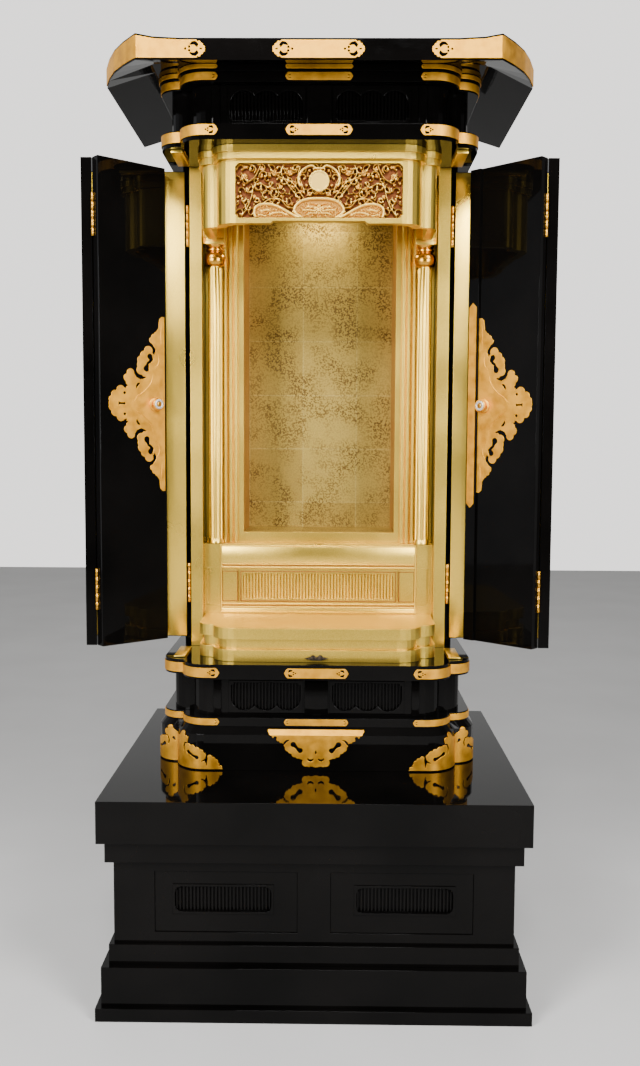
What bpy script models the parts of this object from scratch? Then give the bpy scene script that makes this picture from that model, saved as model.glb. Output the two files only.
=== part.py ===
"""A household Buddhist altar of lacquered wood with a gilt interior, on its own stand.

Metres, +Z up. The origin is on the floor under the middle of the stand, the doors open
towards -Y and the flat back is at +Y. The two door leaves turn on upright hinges.
"""

import math

import bmesh
import bpy
from mathutils import Vector

# Gap that touching pieces keep
GAP = 0.0003

# Stand, from the floor up: height of each course and how far it stands in from the plinth
STAND_HALF_WIDTH = 0.350
STAND_DEPTH = 0.600
PLINTH_HEIGHT = 0.022
LOWER_STEP_HEIGHT = 0.0645
LOWER_STEP_INSET = 0.0085
UPPER_STEP_HEIGHT = 0.0335
UPPER_STEP_INSET = 0.0195
CARCASS_HEIGHT = 0.1375
CARCASS_INSET = 0.027
CARCASS_WALL = 0.018
CARCASS_STILE = 0.066
CARCASS_CENTRE_STILE = 0.053
STAND_PANEL_THICKNESS = 0.014
STAND_PANEL_SET_BACK = 0.002
FRIEZE_HEIGHT = 0.0345
FRIEZE_INSET = 0.015
SLAB_HEIGHT = 0.069
SLAB_INSET = 0.0035
STAND_WINDOW_WIDTH = 0.157
STAND_WINDOW_HEIGHT = 0.043
STAND_WINDOW_SIDE = 0.032

# Altar case: plan of its boards, with a front lobe and a side lobe at each corner
CASE_FRONT = -0.120
CASE_BACK = 0.275
BOARD_NOTCH = 0.236
BOARD_SIDE = 0.274
FRONT_LOBE = 0.046
SIDE_LOBE = 0.038
BASE_GROWTH = 0.009
POST_INSET = 0.018
BASE_HEIGHT = 0.075
BASE_SHOULDER = 0.012
LOWER_BOARD_HEIGHT = 0.016
WAIST_HEIGHT = 0.0665
SILL_BOARD_HEIGHT = 0.0265
DOORWAY_HEIGHT = 0.8855
HEAD_BOARD_HEIGHT = 0.0265
NECK_HEIGHT = 0.0665
TOP_BOARD_HEIGHT = 0.016
TOP_BOARD_REVEAL = 0.003
CREST_HEIGHT = 0.012
CREST_GROWTH = 0.003
WINDOW_WIDTH = 0.1235
WINDOW_CENTRE = 0.0885
WINDOW_HEIGHT = 0.050
WINDOW_DEPTH = 0.007
SLAT_PITCH = 0.0059
SLAT_HEIGHT = 0.004

# Roof
ROOF_FRONT = -0.212
ROOF_FRONT_HALF = 0.288
ROOF_SIDE_HALF = 0.3597
ROOF_CHAMFER_DEPTH = 0.132
ROOF_CHAMFER_BULGE = 0.010
ROOF_EDGE_DROP = 0.026
ROOF_EDGE_HEIGHT = 0.0335
ROOF_CORNER_RISE = 0.007
ROOF_CROWN = 0.012
ROOF_TURN = 0.068
ROOF_PLATE_MARGIN = 0.0028
ROOF_CORNER_PLATE = 0.111
ROOF_CENTRE_PLATE = 0.146

# Gilt interior: sill mouldings, floor, dais, columns, niche and lintel
INNER_FRONT = -0.094
INNER_NOTCH = 0.1855
INNER_SIDE = 0.2130
INNER_FRONT_LOBE = 0.040
INNER_SIDE_LOBE = 0.026
FOOT_MOULD_HEIGHT = 0.021
HOLLOW_MOULD_HEIGHT = 0.018
HOLLOW_MOULD_INSET = 0.008
FLOOR_HEIGHT = 0.0205
JAMB_FRONT = 0.057
JAMB_INNER = 0.2175
JAMB_THICKNESS = 0.022
CASE_WALL = 0.036
BACK_THICKNESS = 0.010
DAIS_FRONT = 0.077
DAIS_RAIL_HEIGHT = 0.0155
DAIS_PANEL_HEIGHT = 0.0725
DAIS_TOP_HEIGHT = 0.0445
DAIS_CENTRE_HALF = 0.150
DAIS_WINDOW_HEIGHT = 0.048
DAIS_WINDOW_HALF = 0.143
COLUMN_RADIUS = 0.0140
COLUMN_FROM_JAMB = 0.0215
COLUMN_OVERHANG = 0.002
COLUMN_FLUTES = 12
CAPITAL_HEIGHT = 0.038
BLOCK_HEIGHT = 0.060
BLOCK_WIDTH = 0.039
BLOCK_CLEARANCE = 0.001
PILASTER_INNER = 0.1545
PILASTER_WIDTH = 0.0310
PILASTER_DEPTH = 0.006
NICHE_FRONT = 0.112
NICHE_FRAME_DEPTH = 0.014
NICHE_HALF = 0.145
NICHE_SILL = 0.020
NICHE_HEAD = 0.035
NICHE_WALL = 0.009
CORNICE_HEIGHT = 0.0115
CORNICE_STEP = 0.002
LINTEL_HEIGHT = 0.1065
LINTEL_THICKNESS = 0.016
LINTEL_INSET = 0.008
LINTEL_WINDOW_HALF = 0.1425
LINTEL_WINDOW_HEIGHT = 0.091
LINTEL_WINDOW_RISE = 0.009
LINTEL_WINDOW_CORNER = 0.006
LINTEL_ARCH_HALF = 0.083
LINTEL_ARCH_RISE = 0.004
CARVING_DEPTH = 0.012
CARVING_RELIEF = 0.006

# Doors: a side leaf on the jamb, a corner leaf square to it and a folding door leaf
DOOR_THICKNESS = 0.019
DOOR_LIFT = 0.0175
DOOR_HEAD_ROOM = 0.008
HINGE_GAP = 0.008
SIDE_LEAF_WIDTH = 0.169
CORNER_LEAF_WIDTH = 0.097
DOOR_LEAF_WIDTH = 0.137
LEAF_CLEARANCE = 0.001
LEFT_FOLD = math.radians(49.0)
RIGHT_FOLD = math.radians(46.5)
MEETING_STRIP_WIDTH = 0.022
MEETING_STRIP_THICKNESS = 0.004
PLATE_HEIGHT = 0.318
PLATE_WIDTH = 0.116
PLATE_THICKNESS = 0.0015
PLATE_EDGE = 0.004
KNOB_RADIUS = 0.0115
KNOB_DEPTH = 0.014
KNOB_FROM_EDGE = 0.024
STRIP_PLATE_HEIGHT = 0.374

# Metal fittings on the base
FITTING_THICKNESS = 0.0015
FITTING_LIFT = 0.006
FITTING_HEIGHT = 0.055
CORNER_FITTING_LIFT = 0.002
CORNER_FITTING_HEIGHT = 0.060
CENTRE_FITTING_HALF = 0.084
CORNER_FITTING_REACH = 0.066
CATCH_WIDTH = 0.042
CATCH_HEIGHT = 0.009
CATCH_THICKNESS = 0.004

ARC_STEPS = 6

BLACK = ("black lacquer", (0.012, 0.011, 0.010), 0.16, 0.0)
GOLD = ("satin gold", (0.74, 0.56, 0.22), 0.38, 0.85)
LEAF_GOLD = ("gold leaf", (0.66, 0.52, 0.25), 0.45, 0.8)
BRASS = ("gilt fitting", (0.83, 0.60, 0.27), 0.34, 0.9)
DARK_METAL = ("dark metal", (0.08, 0.075, 0.07), 0.4, 0.8)


def clear_scene():
    """Empties the file that the script runs in."""
    for item in list(bpy.data.objects):
        bpy.data.objects.remove(item, do_unlink=True)


def material(finish):
    """One Principled material for each piece, named after its finish."""
    name, colour, roughness, metallic = finish
    made = bpy.data.materials.new(name)
    made.use_nodes = True
    shader = made.node_tree.nodes["Principled BSDF"]
    shader.inputs["Base Color"].default_value = (*colour, 1.0)
    shader.inputs["Roughness"].default_value = roughness
    shader.inputs["Metallic"].default_value = metallic
    return made


def add_object(name, shape, finish, smooth=False):
    """Turns a bmesh into a named object with its material."""
    bmesh.ops.recalc_face_normals(shape, faces=shape.faces)
    mesh = bpy.data.meshes.new(name)
    shape.to_mesh(mesh)
    shape.free()
    if smooth:
        mesh.shade_smooth()
        mesh.set_sharp_from_angle(angle=math.radians(35))
    piece = bpy.data.objects.new(name, mesh)
    bpy.context.scene.collection.objects.link(piece)
    mesh.materials.append(material(finish))
    return piece


def hang(piece, pivot):
    """Puts the origin of a moving piece on its hinge's axis."""
    for vert in piece.data.vertices:
        vert.co = vert.co - pivot
    piece.location = pivot
    return piece


def prism_shape(outline, low, high):
    """A bmesh prism over a plan outline."""
    shape = bmesh.new()
    lower = [shape.verts.new((x, y, low)) for x, y in outline]
    upper = [shape.verts.new((x, y, high)) for x, y in outline]
    shape.faces.new(list(reversed(lower)))
    shape.faces.new(upper)
    count = len(lower)
    for index in range(count):
        after = (index + 1) % count
        shape.faces.new((lower[index], lower[after], upper[after], upper[index]))
    return shape


def prism(name, outline, low, high, finish, smooth=False):
    """A named piece with one plan outline from its underside to its top."""
    return add_object(name, prism_shape(outline, low, high), finish, smooth)


def rectangle(x_low, x_high, y_low, y_high):
    """Plan outline of a square-edged board."""
    return [(x_low, y_low), (x_high, y_low), (x_high, y_high), (x_low, y_high)]


def box(name, x_range, y_range, z_range, finish):
    """A square board between two x, two y and two z places."""
    return prism(name, rectangle(*x_range, *y_range), *z_range, finish)


def upright(name, outline, front, back, finish):
    """A plate whose outline is drawn in x and z, with its faces towards -Y and +Y."""
    return add_object(name, upright_shape(outline, front, back), finish)


def arc(centre, radius, start, end, steps=ARC_STEPS):
    """Points on a circle between two angles in degrees."""
    points = []
    for step in range(steps + 1):
        angle = math.radians(start + (end - start) * step / steps)
        points.append((centre[0] + radius * math.cos(angle), centre[1] + radius * math.sin(angle)))
    return points


def lobed_half(notch, side, front, front_lobe, side_lobe):
    """Right half of the lobed front: a quarter round, a square notch and a second quarter round."""
    step_back = front + front_lobe
    points = arc((notch - front_lobe, step_back), front_lobe, -90, 0)
    reach = min(side_lobe, side - notch)
    lobe = arc((0.0, 0.0), 1.0, -90, 0)
    points += [(side - reach + reach * x, step_back + side_lobe + side_lobe * y) for x, y in lobe]
    return points


def lobed(notch, side, front, front_lobe, side_lobe, back):
    """Closed plan outline of a board with lobed front corners."""
    right = lobed_half(notch, side, front, front_lobe, side_lobe)
    left = [(-x, y) for x, y in reversed(right)]
    return [(-side, back)] + left + right + [(side, back)]


def case_plan(inset=0.0, back=CASE_BACK):
    """Plan of the black case, drawn in from its boards by an inset, or out where it is below zero."""
    front_lobe = FRONT_LOBE - 0.5 * inset
    side_lobe = SIDE_LOBE - 0.5 * inset
    return lobed(BOARD_NOTCH - inset, BOARD_SIDE - inset, CASE_FRONT + inset, front_lobe, side_lobe, back)


def inner_plan(inset=0.0, back=DAIS_FRONT - GAP):
    """Plan of the gilt sill and cornice mouldings, drawn in by an inset."""
    front_lobe = INNER_FRONT_LOBE - 0.5 * inset
    side_lobe = INNER_SIDE_LOBE - 0.5 * inset
    return lobed(INNER_NOTCH - inset, INNER_SIDE - inset, INNER_FRONT + inset, front_lobe, side_lobe, back)


def cut(piece, cutter_shape, name, operation="DIFFERENCE"):
    """Applies an exact Boolean with a hidden cutter, then removes the cutter."""
    bmesh.ops.recalc_face_normals(cutter_shape, faces=cutter_shape.faces)
    mesh = bpy.data.meshes.new(name)
    cutter_shape.to_mesh(mesh)
    cutter_shape.free()
    cutter = bpy.data.objects.new(name, mesh)
    bpy.context.scene.collection.objects.link(cutter)
    cutter.hide_render = True
    cutter.display_type = "WIRE"
    modifier = piece.modifiers.new(name, "BOOLEAN")
    modifier.operation = operation
    modifier.solver = "EXACT"
    modifier.object = cutter
    graph = bpy.context.evaluated_depsgraph_get()
    result = bpy.data.meshes.new_from_object(piece.evaluated_get(graph))
    result.name = piece.name
    piece.modifiers.remove(modifier)
    piece.data = result
    bpy.data.objects.remove(cutter, do_unlink=True)
    return piece


def upright_shape(outline, front, back):
    """A bmesh plate drawn in x and z between two y places."""
    shape = bmesh.new()
    near = [shape.verts.new((x, front, z)) for x, z in outline]
    far = [shape.verts.new((x, back, z)) for x, z in outline]
    shape.faces.new(near)
    shape.faces.new(list(reversed(far)))
    count = len(near)
    for index in range(count):
        after = (index + 1) % count
        shape.faces.new((near[index], far[index], far[after], near[after]))
    return shape


def window_outline(centre, low, width, height, lobe, lobes_up):
    """Window with plain corners on one long side and cusped corners on the other."""
    half = width / 2
    corner = [(half, 0.0), (half, height - 2 * lobe), (half - lobe, height - 2 * lobe)]
    corner += [(half - lobe, height - lobe), (half - 2 * lobe, height - lobe), (half - 2 * lobe, height)]
    points = corner + [(-x, z) for x, z in reversed(corner)]
    if not lobes_up:
        points = [(x, height - z) for x, z in reversed(points)]
    return [(centre + x, low + z) for x, z in points]


def octagon(centre, low, width, height, corner):
    """Window outline with its four corners cut."""
    half = width / 2
    points = [(half, corner), (half, height - corner), (half - corner, height), (corner - half, height)]
    points += [(-half, height - corner), (-half, corner), (corner - half, 0.0), (half - corner, 0.0)]
    return [(centre + x, low + z) for x, z in points]


def cut_slat_window(piece, outline, front, name):
    """Sinks a window into a front face and leaves upright slats standing on its floor."""
    left = min(x for x, z in outline)
    right = max(x for x, z in outline)
    low = min(z for x, z in outline)
    high = max(z for x, z in outline)
    count = max(3, round((right - left) / SLAT_PITCH))
    pitch = (right - left) / count
    floor = front + WINDOW_DEPTH
    crest = floor - SLAT_HEIGHT
    comb = [(left, front - WINDOW_DEPTH), (right, front - WINDOW_DEPTH)]
    for index in reversed(range(count)):
        start = left + pitch * index
        comb += [(start + pitch, floor), (start + 0.62 * pitch, floor)]
        comb += [(start + 0.62 * pitch, crest), (start + 0.24 * pitch, crest), (start + 0.24 * pitch, floor)]
    comb.append((left, floor))
    margin = 0.1 * (high - low)
    block = bpy.data.meshes.new(name)
    shape = prism_shape(comb, low - margin, high + margin)
    bmesh.ops.recalc_face_normals(shape, faces=shape.faces)
    shape.to_mesh(block)
    shape.free()
    guide = bpy.data.objects.new(name, block)
    bpy.context.scene.collection.objects.link(guide)
    cut(guide, upright_shape(outline, front - WINDOW_DEPTH / 2, floor + WINDOW_DEPTH), name, "INTERSECT")
    cutter = bmesh.new()
    cutter.from_mesh(guide.data)
    bpy.data.objects.remove(guide, do_unlink=True)
    return cut(piece, cutter, name)


def build_stand():
    """The stand: plinth, two steps, hollow carcass with its two panels and back, frieze and slab."""
    front = -STAND_DEPTH / 2
    back = STAND_DEPTH / 2
    level = 0.0
    courses = [
        ("stand_plinth", PLINTH_HEIGHT, 0.0),
        ("stand_lower_step", LOWER_STEP_HEIGHT, LOWER_STEP_INSET),
        ("stand_upper_step", UPPER_STEP_HEIGHT, UPPER_STEP_INSET),
        ("stand_carcass", CARCASS_HEIGHT, CARCASS_INSET),
        ("stand_frieze", FRIEZE_HEIGHT, FRIEZE_INSET),
        ("stand_slab", SLAB_HEIGHT, SLAB_INSET),
    ]
    for name, height, inset in courses:
        half = STAND_HALF_WIDTH - inset
        span = (level, level + height - GAP)
        if name == "stand_carcass":
            build_carcass(half, front + inset, back, span)
        else:
            box(name, (-half, half), (front + inset, back), span, BLACK)
        level += height
    return level


def build_carcass(half, front, back, span):
    """Hollow cabinet: four walls and front stiles, two slatted panels and a back board."""
    low, high = span
    inner = half - CARCASS_WALL
    carcass = box("stand_carcass", (-half, half), (front, back - CARCASS_WALL - GAP), span, BLACK)
    room = rectangle(-inner, inner, front + CARCASS_WALL, back + CARCASS_WALL)
    hollow = prism_shape(room, low + CARCASS_WALL, high - CARCASS_WALL)
    cut(carcass, hollow, "carcass_hollow")
    panel_left = CARCASS_CENTRE_STILE / 2
    panel_right = half - CARCASS_STILE
    for side in (-1, 1):
        edges = sorted((side * panel_left, side * panel_right))
        room = rectangle(*edges, front - CARCASS_WALL, front + 2 * CARCASS_WALL)
        bay = prism_shape(room, low + CARCASS_WALL, high - CARCASS_WALL)
        cut(carcass, bay, "carcass_bay")
        name = "stand_panel_left" if side < 0 else "stand_panel_right"
        edges = sorted((side * (panel_left + GAP), side * (panel_right - GAP)))
        face = front + STAND_PANEL_SET_BACK
        heights = (low + CARCASS_WALL + GAP, high - CARCASS_WALL - GAP)
        panel = box(name, edges, (face, face + STAND_PANEL_THICKNESS), heights, BLACK)
        centre = side * (panel_right - STAND_WINDOW_SIDE - STAND_WINDOW_WIDTH / 2)
        window_low = (low + high - STAND_WINDOW_HEIGHT) / 2 + 0.1 * STAND_WINDOW_HEIGHT
        corner = STAND_WINDOW_HEIGHT / 6
        outline = octagon(centre, window_low, STAND_WINDOW_WIDTH, STAND_WINDOW_HEIGHT, corner)
        cut_slat_window(panel, outline, face, name + "_window")
    box("stand_back", (-half, half), (back - CARCASS_WALL, back), span, BLACK)


def build_case(level):
    """The black case from its base up to the crest board, and the z places of its doorway."""
    base_top = level + BASE_HEIGHT
    shoulder = base_top - BASE_SHOULDER
    base = prism_shape(case_plan(-BASE_GROWTH), level, shoulder)
    add_base(base, shoulder, base_top - GAP)
    board_top = base_top + LOWER_BOARD_HEIGHT
    prism("lower_board", case_plan(), base_top, board_top - GAP, BLACK)
    sill_low = board_top + WAIST_HEIGHT
    waist = prism("waist", case_plan(POST_INSET), board_top, sill_low - GAP, BLACK)
    case_face = CASE_FRONT + POST_INSET
    lobe = WINDOW_HEIGHT / 12
    margin = (WAIST_HEIGHT - WINDOW_HEIGHT) / 2
    for side in (-1, 1):
        outline = window_outline(
            side * WINDOW_CENTRE, board_top + margin, WINDOW_WIDTH, WINDOW_HEIGHT, lobe, False
        )
        cut_slat_window(waist, outline, case_face, "waist_window")
    floor = sill_low + SILL_BOARD_HEIGHT
    prism("sill_board", case_plan(), sill_low, floor - GAP, BLACK)
    head = floor + DOORWAY_HEIGHT
    neck_low = head + HEAD_BOARD_HEIGHT
    prism("head_board", case_plan(), head, neck_low - GAP, BLACK)
    neck_high = neck_low + NECK_HEIGHT
    neck = prism("neck", case_plan(POST_INSET), neck_low, neck_high - GAP, BLACK)
    for side in (-1, 1):
        centre = side * WINDOW_CENTRE
        outline = window_outline(centre, neck_low + margin, WINDOW_WIDTH, WINDOW_HEIGHT, lobe, True)
        cut_slat_window(neck, outline, case_face, "neck_window")
    crest_low = neck_high + TOP_BOARD_HEIGHT
    prism("top_board", case_plan(), neck_high, crest_low - GAP, BLACK)
    crest_high = crest_low + CREST_HEIGHT
    prism("crest_board", case_plan(-CREST_GROWTH), crest_low, crest_high - GAP, BLACK)
    return floor, head, neck_high, crest_high


def add_base(shape, shoulder, top):
    """Closes the base block's prism with a shoulder that slopes in to the lower board."""
    cap = max(shape.faces, key=lambda face: face.calc_center_median().z)
    raised = bmesh.ops.extrude_discrete_faces(shape, faces=[cap])["faces"][0]
    narrow = case_plan()
    wide = case_plan(-BASE_GROWTH)
    for vert in raised.verts:
        place = (vert.co.x, vert.co.y)
        nearest = min(range(len(wide)), key=lambda index: math.dist(place, wide[index]))
        vert.co = Vector((*narrow[nearest], top))
    return add_object("base_block", shape, BLACK)


def roof_rim():
    """Right half of the roof's rim: plan place and how far each point is turned up."""
    points = [(0.0, ROOF_FRONT, 0.0), (ROOF_FRONT_HALF - ROOF_TURN, ROOF_FRONT, 0.0)]
    points.append((ROOF_FRONT_HALF - 0.4 * ROOF_TURN, ROOF_FRONT, 0.3 * ROOF_CORNER_RISE))
    points.append((ROOF_FRONT_HALF, ROOF_FRONT, ROOF_CORNER_RISE))
    across = ROOF_SIDE_HALF - ROOF_FRONT_HALF
    length = math.hypot(across, ROOF_CHAMFER_DEPTH)
    steps = 4
    for step in range(1, steps):
        share = step / steps
        bulge = ROOF_CHAMFER_BULGE * math.sin(math.pi * share)
        x = ROOF_FRONT_HALF + across * share + bulge * ROOF_CHAMFER_DEPTH / length
        y = ROOF_FRONT + ROOF_CHAMFER_DEPTH * share - bulge * across / length
        points.append((x, y, ROOF_CORNER_RISE * (1 - share)))
    points.append((ROOF_SIDE_HALF, ROOF_FRONT + ROOF_CHAMFER_DEPTH, 0.0))
    points.append((ROOF_SIDE_HALF, CASE_BACK, 0.0))
    return points


def build_roof(crest):
    """Roof with a deep edge, upturned front corners and a soffit that rises to the crest."""
    right = roof_rim()
    rim = right[1:] + [(-x, y, lift) for x, y, lift in reversed(right[1:])]
    edge_low = crest - ROOF_EDGE_DROP
    edge_high = edge_low + ROOF_EDGE_HEIGHT
    shape = bmesh.new()
    low = [shape.verts.new((x, y, edge_low)) for x, y, lift in rim]
    high = [shape.verts.new((x, y, edge_high + lift)) for x, y, lift in rim]
    ceiling_half = BOARD_SIDE + CREST_GROWTH
    inner = []
    for x, y, lift in rim:
        inner_x = max(-ceiling_half, min(ceiling_half, 0.82 * x))
        inner_y = min(CASE_BACK, max(CASE_FRONT - CREST_GROWTH, y))
        inner.append(shape.verts.new((inner_x, inner_y, crest)))
    crown_height = edge_high + ROOF_CROWN
    crown = [shape.verts.new((0.8 * x, min(CASE_BACK, y + 0.06), crown_height)) for x, y, lift in rim]
    count = len(rim)
    first = max(range(count), key=lambda item: (rim[item][1], rim[item][0]))
    second = first + 1
    for index in range(count):
        after = (index + 1) % count
        if index == first:
            continue
        shape.faces.new((low[index], low[after], high[after], high[index]))
        shape.faces.new((inner[index], inner[after], low[after], low[index]))
        shape.faces.new((high[index], high[after], crown[after], crown[index]))
    shape.faces.new(inner)
    shape.faces.new(list(reversed(crown)))
    end = [low[first], high[first], crown[first], crown[second]]
    shape.faces.new(end + [high[second], low[second], inner[second], inner[first]])
    bmesh.ops.remove_doubles(shape, verts=shape.verts, dist=0.00005)
    bmesh.ops.triangulate(shape, faces=[face for face in shape.faces if len(face.verts) > 4])
    add_object("roof", shape, BLACK)
    return edge_low


def cusped_end(half, height, lobes=3):
    """Right end of a long plate: scallops that step down to a point at mid height."""
    points = []
    radius = height / (2 * lobes)
    for lobe in range(lobes):
        centre_z = radius * (2 * lobe + 1)
        offset = height / 2 - abs(centre_z - height / 2)
        centre = (half - radius + offset * 0.6, centre_z)
        points += arc(centre, radius, -80, 80, 4)
    return points


def roof_centre_plate(low, height):
    """Flat fitting on the middle of the roof's front edge, with scallops at both ends."""
    half = ROOF_CENTRE_PLATE / 2
    outline = [(x, low + z) for x, z in cusped_end(half - height * 0.3, height)]
    outline += [(-x, z) for x, z in reversed(outline)]
    face = ROOF_FRONT - GAP
    upright("roof_plate_centre", outline, face - FITTING_THICKNESS, face, BRASS)


def offset_rim(points, distance):
    """Plan places of a rim moved outwards by a distance, with mitred corners."""
    moved = []
    count = len(points)
    for index, (x, y, lift) in enumerate(points):
        before = points[max(index - 1, 0)]
        after = points[min(index + 1, count - 1)]
        first = Vector((x - before[0], y - before[1]))
        second = Vector((after[0] - x, after[1] - y))
        first = first.normalized() if first.length > 0 else second.normalized()
        second = second.normalized() if second.length > 0 else first
        normal = Vector((first.y + second.y, -first.x - second.x))
        normal = normal * (2 / normal.length_squared)
        moved.append((x + normal.x * distance, y + normal.y * distance))
    return moved


def roof_corner_plate(side, label, edge_low):
    """Fitting bent round a front corner of the roof and along its chamfer, pointed at its free end."""
    start = ROOF_FRONT_HALF - ROOF_CORNER_PLATE
    height = ROOF_EDGE_HEIGHT - 2 * ROOF_PLATE_MARGIN
    tip = [(start + back * height, share) for back, share in ((0.0, 0.2), (0.12, 0.45), (0.3, 0.75), (0.55, 1.0))]
    points = [(x, ROOF_FRONT, 0.0) for x, share in tip]
    shares = [share for x, share in tip]
    for place in roof_rim():
        if place[0] > tip[-1][0] + 0.001 and place[1] < CASE_BACK:
            points.append(place)
            shares.append(1.0)
    inner = offset_rim(points, GAP)
    outer = offset_rim(points, GAP + FITTING_THICKNESS)
    shape = bmesh.new()
    rows = []
    for (ix, iy), (ox, oy), (x, y, lift), share in zip(inner, outer, points, shares):
        low = edge_low + ROOF_PLATE_MARGIN + 0.5 * height * (1 - share)
        high = low + height * share + lift
        corners = ((ix, iy, low), (ix, iy, high), (ox, oy, high), (ox, oy, low))
        rows.append([shape.verts.new((side * cx, cy, cz)) for cx, cy, cz in corners])
    shape.faces.new(rows[0])
    shape.faces.new(list(reversed(rows[-1])))
    for before, after in zip(rows, rows[1:]):
        for index in range(4):
            following = (index + 1) % 4
            shape.faces.new((before[index], after[index], after[following], before[following]))
    add_object("roof_plate_" + label, shape, BRASS)


def build_roof_plates(edge_low):
    """Three fittings on the roof's edge: one in the middle and one round each front corner."""
    roof_centre_plate(edge_low + ROOF_PLATE_MARGIN, ROOF_EDGE_HEIGHT - 2 * ROOF_PLATE_MARGIN)
    roof_corner_plate(-1, "left", edge_low)
    roof_corner_plate(1, "right", edge_low)


def build_sill(floor):
    """Gilt mouldings that carry the interior's floor, and the height of that floor."""
    hollow = floor + FOOT_MOULD_HEIGHT
    boards = hollow + HOLLOW_MOULD_HEIGHT
    prism("foot_moulding", inner_plan(), floor, hollow - GAP, GOLD)
    prism("hollow_moulding", inner_plan(HOLLOW_MOULD_INSET), hollow, boards - GAP, GOLD)
    level = boards + FLOOR_HEIGHT
    prism("interior_floor", inner_plan(), boards, level - GAP, GOLD)
    catch_low = floor + CATCH_THICKNESS
    outline = [(x, catch_low + z) for x, z in catch_outline()]
    upright("sill_catch", outline, INNER_FRONT - GAP - CATCH_THICKNESS, INNER_FRONT - GAP, DARK_METAL)
    return level


def catch_outline():
    """Outline of the small double-lobed catch: two round lobes with a leaf at each end."""
    radius = CATCH_HEIGHT / 2
    half = CATCH_WIDTH / 2
    right = [(half, 0.35 * CATCH_HEIGHT)] + arc((0.3 * half, radius), radius, 20, 165, 7)
    left = [(-x, z) for x, z in reversed(right)]
    return right + left + [(-0.4 * half, 0.0), (0.4 * half, 0.0)]


def build_walls(floor, head):
    """Gilt jambs, black side walls behind them and the back of the case."""
    outer = JAMB_INNER + CASE_WALL
    wall_front = JAMB_FRONT + DOOR_THICKNESS + LEAF_CLEARANCE
    back_front = CASE_BACK - BACK_THICKNESS
    for side, label in ((-1, "left"), (1, "right")):
        edges = sorted((side * JAMB_INNER, side * (JAMB_INNER + JAMB_THICKNESS)))
        box("jamb_" + label, edges, (JAMB_FRONT, wall_front - GAP), (floor, head - GAP), GOLD)
        edges = sorted((side * JAMB_INNER, side * outer))
        box("side_wall_" + label, edges, (wall_front, back_front - GAP), (floor, head - GAP), BLACK)
    box("back_wall", (-outer, outer), (back_front, CASE_BACK), (floor, head - GAP), BLACK)


def build_dais(floor_low, level):
    """Stepped dais behind the jambs: plain rail, panelled front with a slat window and top."""
    half = JAMB_INNER - GAP
    back = CASE_BACK - BACK_THICKNESS - GAP
    rail_top = level + DAIS_RAIL_HEIGHT
    panel_top = rail_top + DAIS_PANEL_HEIGHT
    top = panel_top + DAIS_TOP_HEIGHT
    box("dais_rail", (-half, half), (DAIS_FRONT, back), (floor_low, rail_top - GAP), GOLD)
    front = box("dais_front", (-half, half), (DAIS_FRONT, back), (rail_top, panel_top - GAP), GOLD)
    groove = 0.0045
    sink = 0.003
    for place in (DAIS_CENTRE_HALF + groove / 2, JAMB_INNER - 2 * groove):
        for side in (-1, 1):
            slot = prism_shape(
                rectangle(
                    side * place - groove / 2, side * place + groove / 2, DAIS_FRONT - sink, DAIS_FRONT + sink
                ),
                rail_top + sink,
                panel_top - sink,
            )
            cut(front, slot, "dais_groove")
    margin = (DAIS_PANEL_HEIGHT - DAIS_WINDOW_HEIGHT) / 2
    corner = DAIS_WINDOW_HEIGHT / 10
    outline = octagon(0.0, rail_top + margin, 2 * DAIS_WINDOW_HALF, DAIS_WINDOW_HEIGHT, corner)
    cut_slat_window(front, outline, DAIS_FRONT, "dais_window")
    box("dais_top", (-half, half), (DAIS_FRONT, back), (panel_top, top - GAP), GOLD)
    return top


def column_rings(low, capital_low, high):
    """Height, radius share and flute depth of each ring of a column, from its foot up."""
    rings = [(low, 1.0, 0.12), (capital_low, 1.0, 0.12)]
    profile = [
        (1.16, 0.02),
        (1.18, 0.10),
        (1.05, 0.14),
        (1.28, 0.24),
        (1.35, 0.36),
        (1.27, 0.50),
        (0.98, 0.60),
        (1.30, 0.66),
        (1.28, 0.76),
        (0.64, 0.82),
        (0.64, 1.0),
    ]
    tall = high - capital_low
    rings += [(capital_low + tall * rise, share, 0.0) for share, rise in profile]
    return rings


def column(name, x_centre, y_centre, low, capital_low, high):
    """A fluted shaft with its turned capital, as one piece."""
    shape = bmesh.new()
    sides = 2 * COLUMN_FLUTES
    rings = []
    for level, share, flute in column_rings(low, capital_low, high):
        ring = []
        for index in range(sides):
            angle = 2 * math.pi * index / sides
            reach = COLUMN_RADIUS * share * (1 - flute * (index % 2))
            place = (x_centre + reach * math.cos(angle), y_centre + reach * math.sin(angle), level)
            ring.append(shape.verts.new(place))
        rings.append(ring)
    shape.faces.new(list(reversed(rings[0])))
    shape.faces.new(rings[-1])
    for lower, upper in zip(rings, rings[1:]):
        for index in range(sides):
            after = (index + 1) % sides
            shape.faces.new((lower[index], lower[after], upper[after], upper[index]))
    return add_object(name, shape, GOLD, True)


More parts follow.
